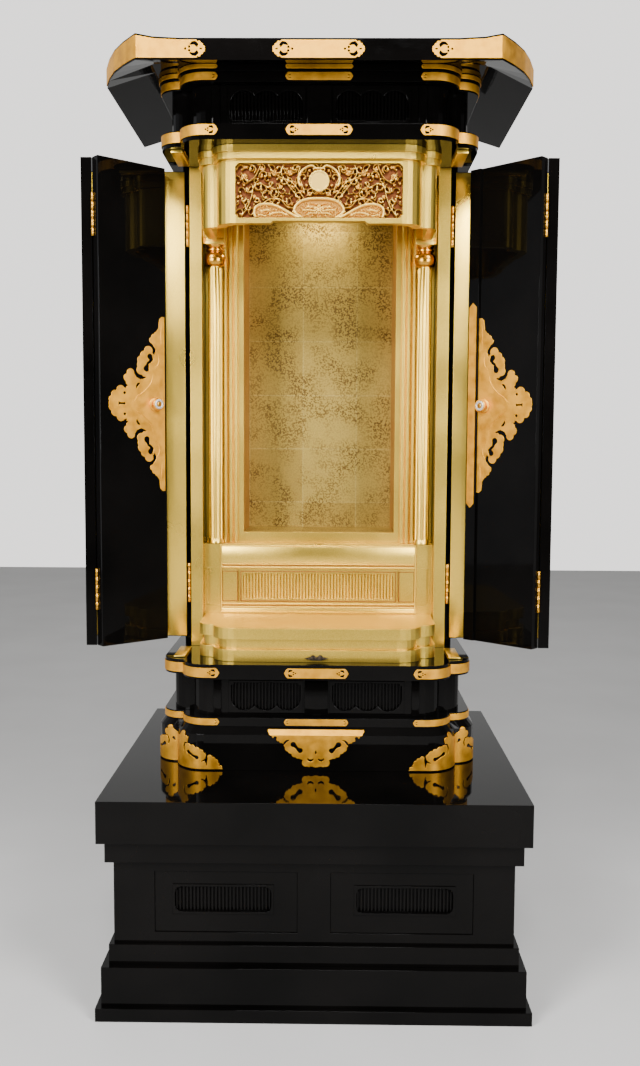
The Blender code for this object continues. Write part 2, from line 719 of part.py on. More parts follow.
def build_columns(top, head):
    """Free columns with a turned capital and a square block, and flat fluted pilasters behind."""
    column_x = JAMB_INNER - COLUMN_FROM_JAMB
    column_y = DAIS_FRONT + COLUMN_RADIUS - COLUMN_OVERHANG
    lintel_low = head - 2 * CORNICE_HEIGHT - LINTEL_HEIGHT
    block_low = lintel_low + 0.006
    capital_low = block_low - CAPITAL_HEIGHT
    pilaster_face = NICHE_FRONT - GAP - PILASTER_DEPTH
    for side, label in ((-1, "left"), (1, "right")):
        column("column_" + label, side * column_x, column_y, top, capital_low, block_low - GAP)
        block_outer = JAMB_INNER - BLOCK_CLEARANCE
        block_x = sorted((side * block_outer, side * (block_outer - BLOCK_WIDTH)))
        block_y = (column_y - BLOCK_WIDTH / 2, pilaster_face - GAP)
        box("block_" + label, block_x, block_y, (block_low, block_low + BLOCK_HEIGHT), GOLD)
        plan = pilaster_plan(side * (PILASTER_INNER + PILASTER_WIDTH / 2), pilaster_face)
        prism("pilaster_" + label, plan, top, head - GAP, GOLD, True)


def pilaster_plan(centre, face):
    """Plan of a pilaster: a flat back and three rounded reeds in front."""
    reeds = 3
    radius = PILASTER_WIDTH / (2 * reeds)
    points = []
    for reed in range(reeds):
        middle = centre - PILASTER_WIDTH / 2 + radius * (2 * reed + 1)
        points += arc((middle, face + radius), radius * 0.98, 190, 350, 5)
    back = face + PILASTER_DEPTH
    points += [(centre + PILASTER_WIDTH / 2, back), (centre - PILASTER_WIDTH / 2, back)]
    return points


def build_niche(top, head):
    """Framed niche with side walls, ceiling and a gold-leaf back."""
    half = JAMB_INNER - GAP
    high = head - GAP
    frame_back = NICHE_FRONT + NICHE_FRAME_DEPTH
    frame = box("niche_frame", (-half, half), (NICHE_FRONT, frame_back), (top, high), GOLD)
    sill = top + NICHE_SILL
    opening = prism_shape(
        rectangle(-NICHE_HALF, NICHE_HALF, NICHE_FRONT - NICHE_WALL, NICHE_FRONT + 2 * NICHE_FRAME_DEPTH),
        sill,
        high - NICHE_HEAD,
    )
    cut(frame, opening, "niche_opening")
    shell_front = frame_back + GAP
    shell_back = CASE_BACK - BACK_THICKNESS - GAP
    outer = NICHE_HALF + NICHE_WALL
    shell_span = (sill - NICHE_WALL, high - NICHE_HEAD + NICHE_WALL)
    shell = box("niche_shell", (-outer, outer), (shell_front, shell_back), shell_span, LEAF_GOLD)
    room = rectangle(-NICHE_HALF, NICHE_HALF, shell_front - NICHE_WALL, shell_back - NICHE_WALL)
    hollow = prism_shape(room, sill, high - NICHE_HEAD)
    cut(shell, hollow, "niche_hollow")


def build_lintel(head):
    """Two cornice boards, the lobed lintel with its window, and the pierced carving in it."""
    cornice_low = head - CORNICE_HEIGHT
    second_low = cornice_low - CORNICE_HEIGHT
    back = JAMB_FRONT - GAP
    prism("cornice_upper", inner_plan(0.0, back), cornice_low, head - GAP, GOLD)
    prism("cornice_lower", inner_plan(CORNICE_STEP, back), second_low, cornice_low - GAP, GOLD)
    low = second_low - LINTEL_HEIGHT
    outline = open_band(LINTEL_INSET, LINTEL_THICKNESS, back)
    lintel = prism("lintel", outline, low, second_low - GAP, GOLD)
    face = INNER_FRONT + LINTEL_INSET
    window_low = low + LINTEL_WINDOW_RISE
    opening = octagon(0.0, window_low, 2 * LINTEL_WINDOW_HALF, LINTEL_WINDOW_HEIGHT, LINTEL_WINDOW_CORNER)
    cut(lintel, upright_shape(opening, face - LINTEL_THICKNESS, face + 2 * LINTEL_THICKNESS), "lintel_window")
    arch = octagon(0.0, low - LINTEL_ARCH_RISE, 2 * LINTEL_ARCH_HALF, 2 * LINTEL_ARCH_RISE, LINTEL_ARCH_RISE)
    cut(lintel, upright_shape(arch, face - LINTEL_THICKNESS, face + 2 * LINTEL_THICKNESS), "lintel_arch")
    build_carving(window_low, face)
    return low


def open_band(inset, thickness, back):
    """Plan of a board bent round the lobed front and open behind."""
    outer = inner_plan(inset, back)
    inner = lobed(
        INNER_NOTCH - inset - thickness,
        INNER_SIDE - inset - thickness,
        INNER_FRONT + inset + thickness,
        INNER_FRONT_LOBE - 0.5 * inset - 0.5 * thickness,
        INNER_SIDE_LOBE - 0.5 * inset - 0.5 * thickness,
        back,
    )
    return outer + list(reversed(inner))


def spiral(centre, radius, turn, start, hand, steps=14):
    """Points of one scroll that winds in to its eye."""
    points = []
    for step in range(steps + 1):
        share = step / steps
        angle = start + hand * turn * share
        reach = radius * (1 - 0.78 * share)
        points.append((centre[0] + reach * math.cos(angle), centre[1] + reach * math.sin(angle)))
    return points


def carving_strokes():
    """Vine scrolls, arch and cartouche rims of the carving, in shares of the window's height."""
    strokes = []
    scrolls = [
        (0.44, 0.66, 0.20, 1),
        (0.78, 0.34, 0.17, -1),
        (0.80, 0.78, 0.15, -1),
        (1.06, 0.62, 0.20, 1),
        (1.36, 0.26, 0.15, 1),
        (1.34, 0.74, 0.17, -1),
        (0.36, 0.30, 0.12, -1),
    ]
    for side in (-1, 1):
        for x, z, radius, hand in scrolls:
            path = spiral((x, z), radius, 5.2, math.pi * (0.9 if hand > 0 else 0.1), hand)
            strokes.append([(side * px, pz) for px, pz in path])
        vine = [(0.30 + 0.062 * step, 0.52 + 0.16 * math.sin(0.9 * step)) for step in range(20)]
        strokes.append([(side * px, pz) for px, pz in vine])
        leaf = arc((0.50, -0.05), 0.27, 20, 165, 8)
        strokes.append([(side * px, pz) for px, pz in leaf])
    strokes.append([(0.30 * math.cos(a), -0.06 + 0.24 * math.sin(a)) for a in spread(0.25, 2.9, 9)])
    strokes.append([(0.20 * math.cos(a), 0.68 + 0.24 * math.sin(a)) for a in spread(0.2, 2.95, 9)])
    return strokes


def spread(start, end, steps):
    """Even values from start to end."""
    return [start + (end - start) * step / steps for step in range(steps + 1)]


def stroke_distance(x, z, strokes):
    """Distance from a point to the nearest carved stroke."""
    best = 9.0
    for path in strokes:
        for (ax, az), (bx, bz) in zip(path, path[1:]):
            dx, dz = bx - ax, bz - az
            length = dx * dx + dz * dz
            share = max(0.0, min(1.0, ((x - ax) * dx + (z - az) * dz) / length)) if length else 0.0
            best = min(best, math.hypot(x - ax - share * dx, z - az - share * dz))
    return best


def carving_relief(x, z, strokes):
    """Height of the carving at a point, from 0 at its ground to 1 on the disc and the vines."""
    disc = 0.17
    if math.hypot(x, z - 0.68) < disc:
        return 1.0
    width = 0.035
    return max(0.0, 1.0 - stroke_distance(x, z, strokes) / width) ** 0.6


def build_carving(low, face):
    """Carved panel behind the lintel's window, as one plate with a raised front."""
    margin = GAP
    half = LINTEL_WINDOW_HALF - margin
    height = LINTEL_WINDOW_HEIGHT - 2 * margin
    columns = 54
    rows = 17
    strokes = carving_strokes()
    back = face + LINTEL_THICKNESS + CARVING_DEPTH
    ground = face + CARVING_DEPTH
    shape = bmesh.new()
    near = []
    for row in range(rows + 1):
        line = []
        rise = height * row / rows
        limit = half - max(0.0, LINTEL_WINDOW_CORNER - min(rise, height - rise))
        for column in range(columns + 1):
            x = -limit + 2 * limit * column / columns
            z = low + margin + rise
            edge = column in (0, columns) or row in (0, rows)
            share_z = (z - low) / LINTEL_WINDOW_HEIGHT
            lift = 0.0 if edge else carving_relief(x / LINTEL_WINDOW_HEIGHT, share_z, strokes)
            line.append(shape.verts.new((x, ground - CARVING_RELIEF * lift, z)))
        near.append(line)
    for row in range(rows):
        for column in range(columns):
            lower, upper = near[row], near[row + 1]
            shape.faces.new((lower[column], lower[column + 1], upper[column + 1], upper[column]))
    bottom = near[0]
    top = list(reversed(near[-1]))
    right = [near[row][-1] for row in range(1, rows)]
    left = [near[row][0] for row in reversed(range(1, rows))]
    rim = bottom + right + top + left
    deep = [shape.verts.new((vert.co.x, back - LINTEL_THICKNESS + margin, vert.co.z)) for vert in rim]
    count = len(rim)
    for index in range(count):
        after = (index + 1) % count
        shape.faces.new((rim[after], rim[index], deep[index], deep[after]))
    shape.faces.new(deep)
    return add_object("lintel_carving", shape, GOLD)


def plate_half_outline(width, height):
    """Upper half of a door plate: straight inner edge, fan, trefoil, oval lobe and a side point."""
    half = height / 2
    points = [(0.0, half), (0.10 * width, half)]
    points += [(x * width, z * half) for x, z in arc((0.16, 0.93), 0.07, 80, -20, 4)]
    points += [(x * width, z * half) for x, z in arc((0.25, 0.80), 0.08, 80, -40, 4)]
    points += [(x * width, z * half) for x, z in arc((0.34, 0.66), 0.10, 80, -30, 4)]
    points += [(x * width, z * half) for x, z in arc((0.30, 0.52), 0.06, 20, -40, 2)]
    points += [(x * width, z * half) for x, z in arc((0.52, 0.40), 0.14, 110, -10, 5)]
    points += [(x * width, z * half) for x, z in arc((0.66, 0.20), 0.12, 90, 0, 4)]
    points += [(0.84 * width, 0.09 * half), (0.90 * width, 0.035 * half)]
    return points


def door_plate_outline(width, height):
    """Whole outline of a door plate about its own middle height, mirrored top to bottom."""
    upper = plate_half_outline(width, height)
    lower = [(x, -z) for x, z in reversed(upper)]
    return upper + [(width, 0.0)] + lower


def leaf_frame(side, fold):
    """Hinge place of a door leaf, its direction from the hinge and its outward normal."""
    hinge_x = JAMB_INNER + JAMB_THICKNESS + HINGE_GAP + SIDE_LEAF_WIDTH - DOOR_THICKNESS - 2 * GAP
    hinge_y = JAMB_FRONT - GAP - CORNER_LEAF_WIDTH - GAP
    along = Vector((-side * math.sin(fold), math.cos(fold), 0.0))
    outward = Vector((-side * math.cos(fold), -math.sin(fold), 0.0))
    return Vector((side * hinge_x, hinge_y, 0.0)), along, outward


def place_on_leaf(shape, frame, side):
    """Moves a shape drawn as (along, height, thickness) on to a leaf, outward side out."""
    hinge, along, outward = frame
    for vert in shape.verts:
        a, z, b = vert.co
        vert.co = hinge + along * a + outward * b + Vector((0.0, 0.0, z))
    return shape


def slab_shape(outline, thin_low, thin_high):
    """A bmesh plate drawn in its own plane and given a thickness along its third axis."""
    shape = bmesh.new()
    low = [shape.verts.new((a, z, thin_low)) for a, z in outline]
    high = [shape.verts.new((a, z, thin_high)) for a, z in outline]
    shape.faces.new(low)
    shape.faces.new(list(reversed(high)))
    count = len(low)
    for index in range(count):
        after = (index + 1) % count
        shape.faces.new((low[index], high[index], high[after], low[after]))
    return shape


def knob_shape(centre_a, centre_z, face):
    """A turned door knob standing on a face, drawn in the leaf's own frame."""
    profile = [(0.45, 0.0), (0.42, 0.25), (0.95, 0.42), (1.0, 0.62), (0.86, 0.86), (0.42, 1.0)]
    shape = bmesh.new()
    sides = 12
    rings = []
    for share, rise in profile:
        ring = []
        for index in range(sides):
            angle = 2 * math.pi * index / sides
            a = centre_a + KNOB_RADIUS * share * math.cos(angle)
            z = centre_z + KNOB_RADIUS * share * math.sin(angle)
            ring.append(shape.verts.new((a, z, face + KNOB_DEPTH * rise)))
        rings.append(ring)
    shape.faces.new(list(reversed(rings[0])))
    shape.faces.new(rings[-1])
    for lower, upper in zip(rings, rings[1:]):
        for index in range(sides):
            after = (index + 1) % sides
            shape.faces.new((lower[index], lower[after], upper[after], upper[index]))
    return shape


def build_door(side, label, fold, floor, head):
    """One side of the doors: side leaf, corner leaf, folding door leaf and its metalwork."""
    low = floor + DOOR_LIFT
    high = head - DOOR_HEAD_ROOM
    start = JAMB_INNER + JAMB_THICKNESS + HINGE_GAP
    end = start + SIDE_LEAF_WIDTH
    face = JAMB_FRONT
    jamb_hinge = Vector((side * (start - HINGE_GAP / 2), face, low))
    x_range = sorted((side * start, side * end))
    hang(box("side_leaf_" + label, x_range, (face, face + DOOR_THICKNESS), (low, high), BLACK), jamb_hinge)
    x_range = sorted((side * (end - DOOR_THICKNESS), side * end))
    y_range = (face - GAP - CORNER_LEAF_WIDTH, face - GAP)
    hang(box("corner_leaf_" + label, x_range, y_range, (low, high), BLACK), jamb_hinge)
    frame = leaf_frame(side, fold)
    leaf_hinge = frame[0] + Vector((0.0, 0.0, low))
    width = DOOR_LEAF_WIDTH
    body = [(LEAF_CLEARANCE, low), (width, low), (width, high), (LEAF_CLEARANCE, high)]
    leaf = place_on_leaf(slab_shape(body, GAP, DOOR_THICKNESS), frame, side)
    hang(add_object("door_leaf_" + label, leaf, BLACK), leaf_hinge)
    middle = (low + high) / 2 + 0.005
    face_out = DOOR_THICKNESS + GAP
    edge = width - PLATE_EDGE
    if side > 0:
        edge = build_meeting_strip(frame, side, low, high, middle, leaf_hinge)
    outline = [(edge - a, middle + z) for a, z in door_plate_outline(PLATE_WIDTH, PLATE_HEIGHT)]
    plate = place_on_leaf(slab_shape(outline, face_out, face_out + PLATE_THICKNESS), frame, side)
    hang(add_object("door_plate_" + label, plate, BRASS), leaf_hinge)
    knob_face = face_out + PLATE_THICKNESS + GAP
    knob = knob_shape(width - KNOB_FROM_EDGE, middle, knob_face)
    hang(add_object("door_knob_" + label, place_on_leaf(knob, frame, side), BRASS, True), leaf_hinge)


def build_meeting_strip(frame, side, low, high, middle, leaf_hinge):
    """Strip that covers the gap between the closed leaves, with its long fitting."""
    face_out = DOOR_THICKNESS + GAP
    width = DOOR_LEAF_WIDTH
    strip_low = width - MEETING_STRIP_WIDTH / 2
    strip_high = width + MEETING_STRIP_WIDTH / 2
    body = [(strip_low, low), (strip_high, low), (strip_high, high), (strip_low, high)]
    strip_face = face_out + MEETING_STRIP_THICKNESS
    strip = place_on_leaf(slab_shape(body, face_out, strip_face), frame, side)
    hang(add_object("meeting_strip", strip, BLACK), leaf_hinge)
    half = MEETING_STRIP_WIDTH * 0.36
    tall = STRIP_PLATE_HEIGHT / 2
    tip = [(half, tall - half), (0.0, tall), (-half, tall - half)]
    points = [(half, -tall + half)] + tip + [(-half, -tall + half), (0.0, -tall)]
    outline = [(width + a, middle + z) for a, z in points]
    fitting_low = strip_face + GAP
    fitting = place_on_leaf(slab_shape(outline, fitting_low, fitting_low + PLATE_THICKNESS), frame, side)
    hang(add_object("meeting_strip_fitting", fitting, BRASS), leaf_hinge)
    return strip_low - GAP


def corner_fitting_height(share):
    """Height of a corner fitting along its length, scalloped down to its ends."""
    fall = 1.0 - 0.72 * abs(share) ** 1.3
    return max(0.16, fall + 0.05 * abs(math.sin(9.0 * share)))


def build_base_fittings(level):
    """Cusped metal fittings on the base block: one hanging in front and one bent round each corner."""
    low = level + FITTING_LIFT
    face = CASE_FRONT - BASE_GROWTH - GAP
    steps = 28
    high = low + FITTING_HEIGHT
    edge = []
    for step in range(steps + 1):
        share = -1 + 2 * step / steps
        scallop = 0.07 * abs(math.sin(7.5 * share))
        drop = min(1.0, max(0.12, 0.93 - 0.85 * abs(share) ** 1.2 + scallop))
        edge.append((share * CENTRE_FITTING_HALF, high - FITTING_HEIGHT * drop))
    outline = edge + [(CENTRE_FITTING_HALF, high), (-CENTRE_FITTING_HALF, high)]
    upright("base_fitting_centre", outline, face - FITTING_THICKNESS, face, BRASS)
    for side, label in ((-1, "left"), (1, "right")):
        build_corner_fitting(side, label, level + CORNER_FITTING_LIFT)


def build_corner_fitting(side, label, low):
    """Thin metal band that follows the base block's lobed corner."""
    grow = BASE_GROWTH + GAP
    inner = lobed_half(
        BOARD_NOTCH + grow,
        BOARD_SIDE + grow,
        CASE_FRONT - grow,
        FRONT_LOBE + 0.5 * grow,
        SIDE_LOBE + 0.5 * grow,
    )
    thick = grow + FITTING_THICKNESS
    outer = lobed_half(
        BOARD_NOTCH + thick,
        BOARD_SIDE + thick,
        CASE_FRONT - thick,
        FRONT_LOBE + 0.5 * thick,
        SIDE_LOBE + 0.5 * thick,
    )
    start_x = BOARD_NOTCH - CORNER_FITTING_REACH
    inner = [(start_x, CASE_FRONT - grow)] + inner
    outer = [(start_x, CASE_FRONT - thick)] + outer
    notch = len(arc((0, 0), 1, 0, 1))
    lengths = [0.0]
    for before, after in zip(inner, inner[1:]):
        lengths.append(lengths[-1] + math.dist(before, after))
    middle = lengths[notch]
    shape = bmesh.new()
    rows = []
    for (ix, iy), (ox, oy), place in zip(inner, outer, lengths):
        reach = middle if place < middle else lengths[-1] - middle
        share = (place - middle) / reach
        high = low + CORNER_FITTING_HEIGHT * corner_fitting_height(share)
        corners = ((ix, iy, low), (ix, iy, high), (ox, oy, high), (ox, oy, low))
        rows.append([shape.verts.new((side * x, y, z)) for x, y, z in corners])
    shape.faces.new(rows[0])
    shape.faces.new(list(reversed(rows[-1])))
    for before, after in zip(rows, rows[1:]):
        for index in range(4):
            following = (index + 1) % 4
            shape.faces.new((before[index], after[index], after[following], before[following]))
    add_object("base_fitting_" + label, shape, BRASS)


def main():
    """Builds the altar from the floor up."""
    clear_scene()
    stand_top = build_stand()
    floor, head, neck_high, crest = build_case(stand_top)
    build_base_fittings(stand_top)
    edge_low = build_roof(crest)
    build_roof_plates(edge_low)
    level = build_sill(floor)
    build_walls(floor, head)
    top = build_dais(floor, level)
    build_columns(top, head)
    build_niche(top, head)
    build_lintel(head)
    build_door(-1, "left", LEFT_FOLD, floor, head)
    build_door(1, "right", RIGHT_FOLD, floor, head)


main()
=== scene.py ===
"""Dresses the lacquered household altar: gilt metalwork, carving, slats, finishes, light and camera."""

from __future__ import annotations

import logging
import math
from collections.abc import Callable, Sequence
from dataclasses import dataclass, field
from enum import Enum

import bmesh
import bpy
import numpy as np
from mathutils import Matrix, Vector


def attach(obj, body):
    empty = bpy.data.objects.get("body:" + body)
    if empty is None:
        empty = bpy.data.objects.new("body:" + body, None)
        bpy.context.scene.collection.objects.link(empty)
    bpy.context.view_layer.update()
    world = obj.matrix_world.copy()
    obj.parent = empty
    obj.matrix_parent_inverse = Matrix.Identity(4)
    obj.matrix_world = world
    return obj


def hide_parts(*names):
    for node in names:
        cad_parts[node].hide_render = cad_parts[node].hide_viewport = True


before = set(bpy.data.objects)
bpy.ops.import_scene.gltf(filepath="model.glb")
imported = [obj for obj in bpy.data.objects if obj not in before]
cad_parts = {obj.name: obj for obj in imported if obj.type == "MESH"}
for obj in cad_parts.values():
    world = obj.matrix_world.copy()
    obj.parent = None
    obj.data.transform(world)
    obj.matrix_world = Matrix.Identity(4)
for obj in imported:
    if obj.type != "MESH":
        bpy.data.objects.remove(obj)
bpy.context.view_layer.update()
LOG = logging.getLogger("altar")
logging.basicConfig(level=logging.INFO, format="%(message)s")

Point = tuple[float, float]
Point3 = tuple[float, float, float]
Colour = tuple[float, float, float]
Solid = bmesh.types.BMesh
Socket = bpy.types.NodeSocket
Wrap = Callable[[float, float, float], Vector]


class Side(Enum):
    """The altar's two sides, as the viewer sees them."""

    LEFT = -1
    RIGHT = 1

    @property
    def label(self) -> str:
        """Word used in the names of the pieces."""
        return self.name.lower()


class Slot(Enum):
    """Material slots of the record."""

    LACQUER = "black_lacquer"
    GOLD = "satin_gold"
    LEAF = "gold_leaf"
    GILT = "gilt_fitting"
    DARK = "dark_metal"


class Shading:
    """Short way to write a finish's nodes."""

    def __init__(self, name: str) -> None:
        """Starts a material with its Principled shader and object coordinates.

        Args:
            name: name of the material.
        """
        self.material = bpy.data.materials.new(name)
        self.material.use_nodes = True
        self.nodes = self.material.node_tree.nodes
        self.links = self.material.node_tree.links
        self.shader = self.nodes["Principled BSDF"]
        self.place = self.nodes.new("ShaderNodeTexCoord").outputs["Object"]

    def set(self, **values: object) -> None:
        """Sets constants on the shader's own sockets, with _ for a space in a socket's name."""
        for key, value in values.items():
            self.shader.inputs[key.replace("_", " ")].default_value = value

    def noise(self, scale: float, detail: float = 3.0) -> Socket:
        """Soft noise at a scale.

        Args:
            scale: repeats for each metre.
            detail: octaves.

        Returns:
            The noise value.
        """
        node = self.nodes.new("ShaderNodeTexNoise")
        node.inputs["Scale"].default_value = scale
        node.inputs["Detail"].default_value = detail
        self.links.new(self.place, node.inputs["Vector"])
        return node.outputs["Fac"]

    def cells(self, scale: float) -> Socket:
        """Distance to the nearest of scattered points, for stippled metal."""
        node = self.nodes.new("ShaderNodeTexVoronoi")
        node.inputs["Scale"].default_value = scale
        self.links.new(self.place, node.inputs["Vector"])
        return node.outputs["Distance"]

    def ramp(self, value: Socket, stops: Sequence[tuple[float, Colour]]) -> Socket:
        """Colour from a value.

        Args:
            value: value between 0 and 1.
            stops: place and colour of each stop.

        Returns:
            The colour.
        """
        node = self.nodes.new("ShaderNodeValToRGB")
        elements = node.color_ramp.elements
        for index, (place, colour) in enumerate(stops):
            element = elements[index] if index < 2 else elements.new(place)
            element.position = place
            element.color = (*colour, 1.0)
        self.links.new(value, node.inputs["Fac"])
        return node.outputs["Color"]

    def spread(self, value: Socket, low: float, high: float, start: float = 0.0, end: float = 1.0) -> Socket:
        """Maps a value's start..end on to low..high and holds it there."""
        node = self.nodes.new("ShaderNodeMapRange")
        node.inputs["From Min"].default_value = start
        node.inputs["From Max"].default_value = end
        node.inputs["To Min"].default_value = low
        node.inputs["To Max"].default_value = high
        self.links.new(value, node.inputs["Value"])
        return node.outputs["Result"]

    def mix(self, share: Socket, first: Socket, second: Socket) -> Socket:
        """Mixes two colours by a share."""
        node = self.nodes.new("ShaderNodeMix")
        node.data_type = "RGBA"
        self.links.new(share, node.inputs[0])
        self.links.new(first, node.inputs[6])
        self.links.new(second, node.inputs[7])
        return node.outputs[2]

    def axis(self, letter: str) -> Socket:
        """One object coordinate."""
        node = self.nodes.new("ShaderNodeSeparateXYZ")
        self.links.new(self.place, node.inputs["Vector"])
        return node.outputs[letter]

    def facing(self, letter: str) -> Socket:
        """How far the surface faces along one axis, from 0 to 1."""
        geometry = self.nodes.new("ShaderNodeNewGeometry")
        split = self.nodes.new("ShaderNodeSeparateXYZ")
        size = self.nodes.new("ShaderNodeMath")
        size.operation = "ABSOLUTE"
        self.links.new(geometry.outputs["True Normal"], split.inputs["Vector"])
        self.links.new(split.outputs[letter], size.inputs[0])
        return size.outputs[0]

    def bump(self, height: Socket, distance: float, strength: float = 1.0, edge: float = 0.0) -> None:
        """Raises the surface by a height, and rounds the edges' shading.

        Args:
            height: height value.
            distance: metres that a height of one stands for.
            strength: share of the effect.
            edge: radius of the rounded edges, or 0 for none.
        """
        node = self.nodes.new("ShaderNodeBump")
        node.inputs["Strength"].default_value = strength
        node.inputs["Distance"].default_value = distance
        self.links.new(height, node.inputs["Height"])
        if edge:
            soft = self.nodes.new("ShaderNodeBevel")
            soft.samples = 4
            soft.inputs["Radius"].default_value = edge
            self.links.new(soft.outputs["Normal"], node.inputs["Normal"])
        self.links.new(node.outputs["Normal"], self.shader.inputs["Normal"])

    def drive(self, socket: str, value: Socket) -> None:
        """Links a value to one of the shader's sockets."""
        self.links.new(value, self.shader.inputs[socket])


@dataclass(frozen=True)
class Finish:
    """A finish that is made once and shared by its pieces."""

    name: str

    def material(self) -> bpy.types.Material:
        """The finish's material, made at its first use."""
        known = bpy.data.materials.get(self.name)
        return known if known else self.build(Shading(self.name))

    def build(self, nodes: Shading) -> bpy.types.Material:
        """Writes the nodes.

        Args:
            nodes: shading to fill in.

        Returns:
            The finished material.
        """
        return nodes.material


@dataclass(frozen=True)
class Lacquer(Finish):
    """Deep polished black lacquer with a faint orange peel and a trace of dust."""

    roughness: float = 0.045

    def build(self, nodes: Shading) -> bpy.types.Material:
        """Polished black coat."""
        nodes.set(Metallic=0.0, IOR=1.50, Specular_IOR_Level=0.085)
        tone = nodes.ramp(
            nodes.noise(6.0), [(0.35, (0.0012, 0.0011, 0.0010)), (0.75, (0.0030, 0.0026, 0.0024))]
        )
        nodes.drive("Base Color", tone)
        dust = nodes.noise(55.0, 6.0)
        nodes.drive("Roughness", nodes.spread(dust, self.roughness * 0.7, self.roughness * 2.2, 0.45, 0.85))
        nodes.bump(nodes.noise(60.0, 1.0), 0.00001, 0.5, 0.0012)
        return nodes.material


@dataclass(frozen=True)
class SatinGold(Finish):
    """Sprayed satin gold with fine metal flake and a slight drift in tone."""

    low: Colour = (0.75, 0.475, 0.050)
    high: Colour = (0.94, 0.66, 0.110)
    roughness: float = 0.32
    metallic: float = 0.96

    def build(self, nodes: Shading) -> bpy.types.Material:
        """Satin metal with flake."""
        nodes.set(Metallic=self.metallic, IOR=1.5)
        flake = nodes.noise(900.0, 2.0)
        drift = nodes.noise(7.0, 3.0)
        tone = nodes.mix(
            drift,
            nodes.ramp(flake, [(0.3, self.low), (0.7, self.high)]),
            nodes.ramp(
                flake, [(0.3, tuple(0.90 * c for c in self.low)), (0.7, tuple(0.96 * c for c in self.high))]
            ),
        )
        nodes.drive("Base Color", tone)
        nodes.drive("Roughness", nodes.spread(drift, self.roughness * 0.85, self.roughness * 1.2, 0.3, 0.7))
        nodes.bump(flake, 0.00005, 0.5, 0.0010)
        return nodes.material


@dataclass(frozen=True)
class GiltMetal(Finish):
    """Gilt sheet metal with a fine stippled ground and slightly worn high spots."""

    low: Colour = (0.66, 0.285, 0.014)
    high: Colour = (0.84, 0.41, 0.030)

    def build(self, nodes: Shading) -> bpy.types.Material:
        """Stippled gilt sheet."""
        nodes.set(Metallic=0.92)
        stipple = nodes.cells(1300.0)
        wear = nodes.noise(60.0, 4.0)
        nodes.drive("Base Color", nodes.ramp(wear, [(0.25, self.low), (0.6, self.high)]))
        nodes.drive("Roughness", nodes.spread(wear, 0.38, 0.52, 0.3, 0.7))
        nodes.bump(stipple, 0.00006, 0.6, 0.0003)
        return nodes.material


@dataclass(frozen=True)
class LeafSquares(Finish):
    """Gold leaf laid in squares, mottled brown where it is thin; the walls that face sideways get a darker
    brown gold as painted shade.
    """

    size: float = 0.109

    def build(self, nodes: Shading) -> bpy.types.Material:
        """Leaf squares with rubbed patches, and painted shade on the side walls."""
        nodes.set(Metallic=0.75)
        brick = nodes.nodes.new("ShaderNodeTexBrick")
        brick.offset = 0.0
        brick.inputs["Scale"].default_value = 1.0
        brick.inputs["Brick Width"].default_value = self.size
        brick.inputs["Row Height"].default_value = self.size
        brick.inputs["Mortar Size"].default_value = 0.0009
        brick.inputs["Color1"].default_value = (0.36, 0.24, 0.045, 1.0)
        brick.inputs["Color2"].default_value = (0.44, 0.31, 0.065, 1.0)
        brick.inputs["Mortar"].default_value = (0.50, 0.37, 0.10, 1.0)
        turn = nodes.nodes.new("ShaderNodeMapping")
        turn.inputs["Rotation"].default_value = (math.radians(90), 0.0, 0.0)
        turn.inputs["Location"].default_value = (0.035, 0.045, 0.0)
        nodes.links.new(nodes.place, turn.inputs["Vector"])
        nodes.links.new(turn.outputs["Vector"], brick.inputs["Vector"])
        patch = nodes.noise(330.0, 9.0)
        broad = nodes.noise(22.0, 5.0)
        speck = nodes.nodes.new("ShaderNodeMath")
        speck.operation = "MULTIPLY"
        nodes.links.new(nodes.spread(patch, 0.0, 1.0, 0.47, 0.56), speck.inputs[0])
        nodes.links.new(nodes.spread(broad, 0.30, 1.0, 0.38, 0.62), speck.inputs[1])
        rubbed = nodes.ramp(patch, [(0.4, (0.060, 0.028, 0.004)), (0.7, (0.13, 0.07, 0.012))])
        leaf = nodes.mix(speck.outputs[0], brick.outputs["Color"], rubbed)
        # painted shade: walls that face along X take this darker brown in place of the leaf
        wall = nodes.ramp(broad, [(0.3, (0.30, 0.12, 0.018)), (0.7, (0.44, 0.20, 0.035))])
        side = nodes.spread(nodes.facing("X"), 0.0, 1.0, 0.4, 0.6)
        nodes.drive("Base Color", nodes.mix(side, leaf, wall))
        nodes.drive("Roughness", nodes.spread(patch, 0.36, 0.55, 0.4, 0.7))
        nodes.bump(patch, 0.0001, 0.4)
        return nodes.material


@dataclass(frozen=True)
class DepthShadedGold(Finish):
    """Gold on the crests of a carving, darkened to red-brown and near black in its depth as painted shade."""

    crest: float = 0.0
    ground: float = 0.01

    def build(self, nodes: Shading) -> bpy.types.Material:
        """Colour by depth behind the carving's face: painted shade that darkens the recesses."""
        nodes.set(Metallic=0.65)
        depth = nodes.spread(nodes.axis("Y"), 0.0, 1.0, self.crest, self.ground)
        # painted shade: gold on the crests, red-brown to near black deeper behind the face
        tone = nodes.ramp(
            depth,
            [
                (0.0, (0.98, 0.66, 0.13)), (1.0, (0.12, 0.028, 0.004)), (0.30, (0.62, 0.31, 0.035)),
                (0.66, (0.24, 0.08, 0.012))
            ],
        )
        nodes.drive("Base Color", tone)
        nodes.drive("Roughness", nodes.spread(depth, 0.30, 0.55))
        nodes.bump(nodes.noise(420.0, 2.0), 0.00008, 0.5)
        return nodes.material


@dataclass(frozen=True)
class Pearl(Finish):
    """Pale grey-cream face of a knob."""

    def build(self, nodes: Shading) -> bpy.types.Material:
        """Polished pale face."""
        nodes.set(Metallic=0.35)
        wear = nodes.noise(300.0, 3.0)
        nodes.drive("Base Color", nodes.ramp(wear, [(0.3, (0.46, 0.42, 0.36)), (0.7, (0.66, 0.62, 0.55))]))
        nodes.drive("Roughness", nodes.spread(wear, 0.2, 0.35, 0.3, 0.7))
        return nodes.material


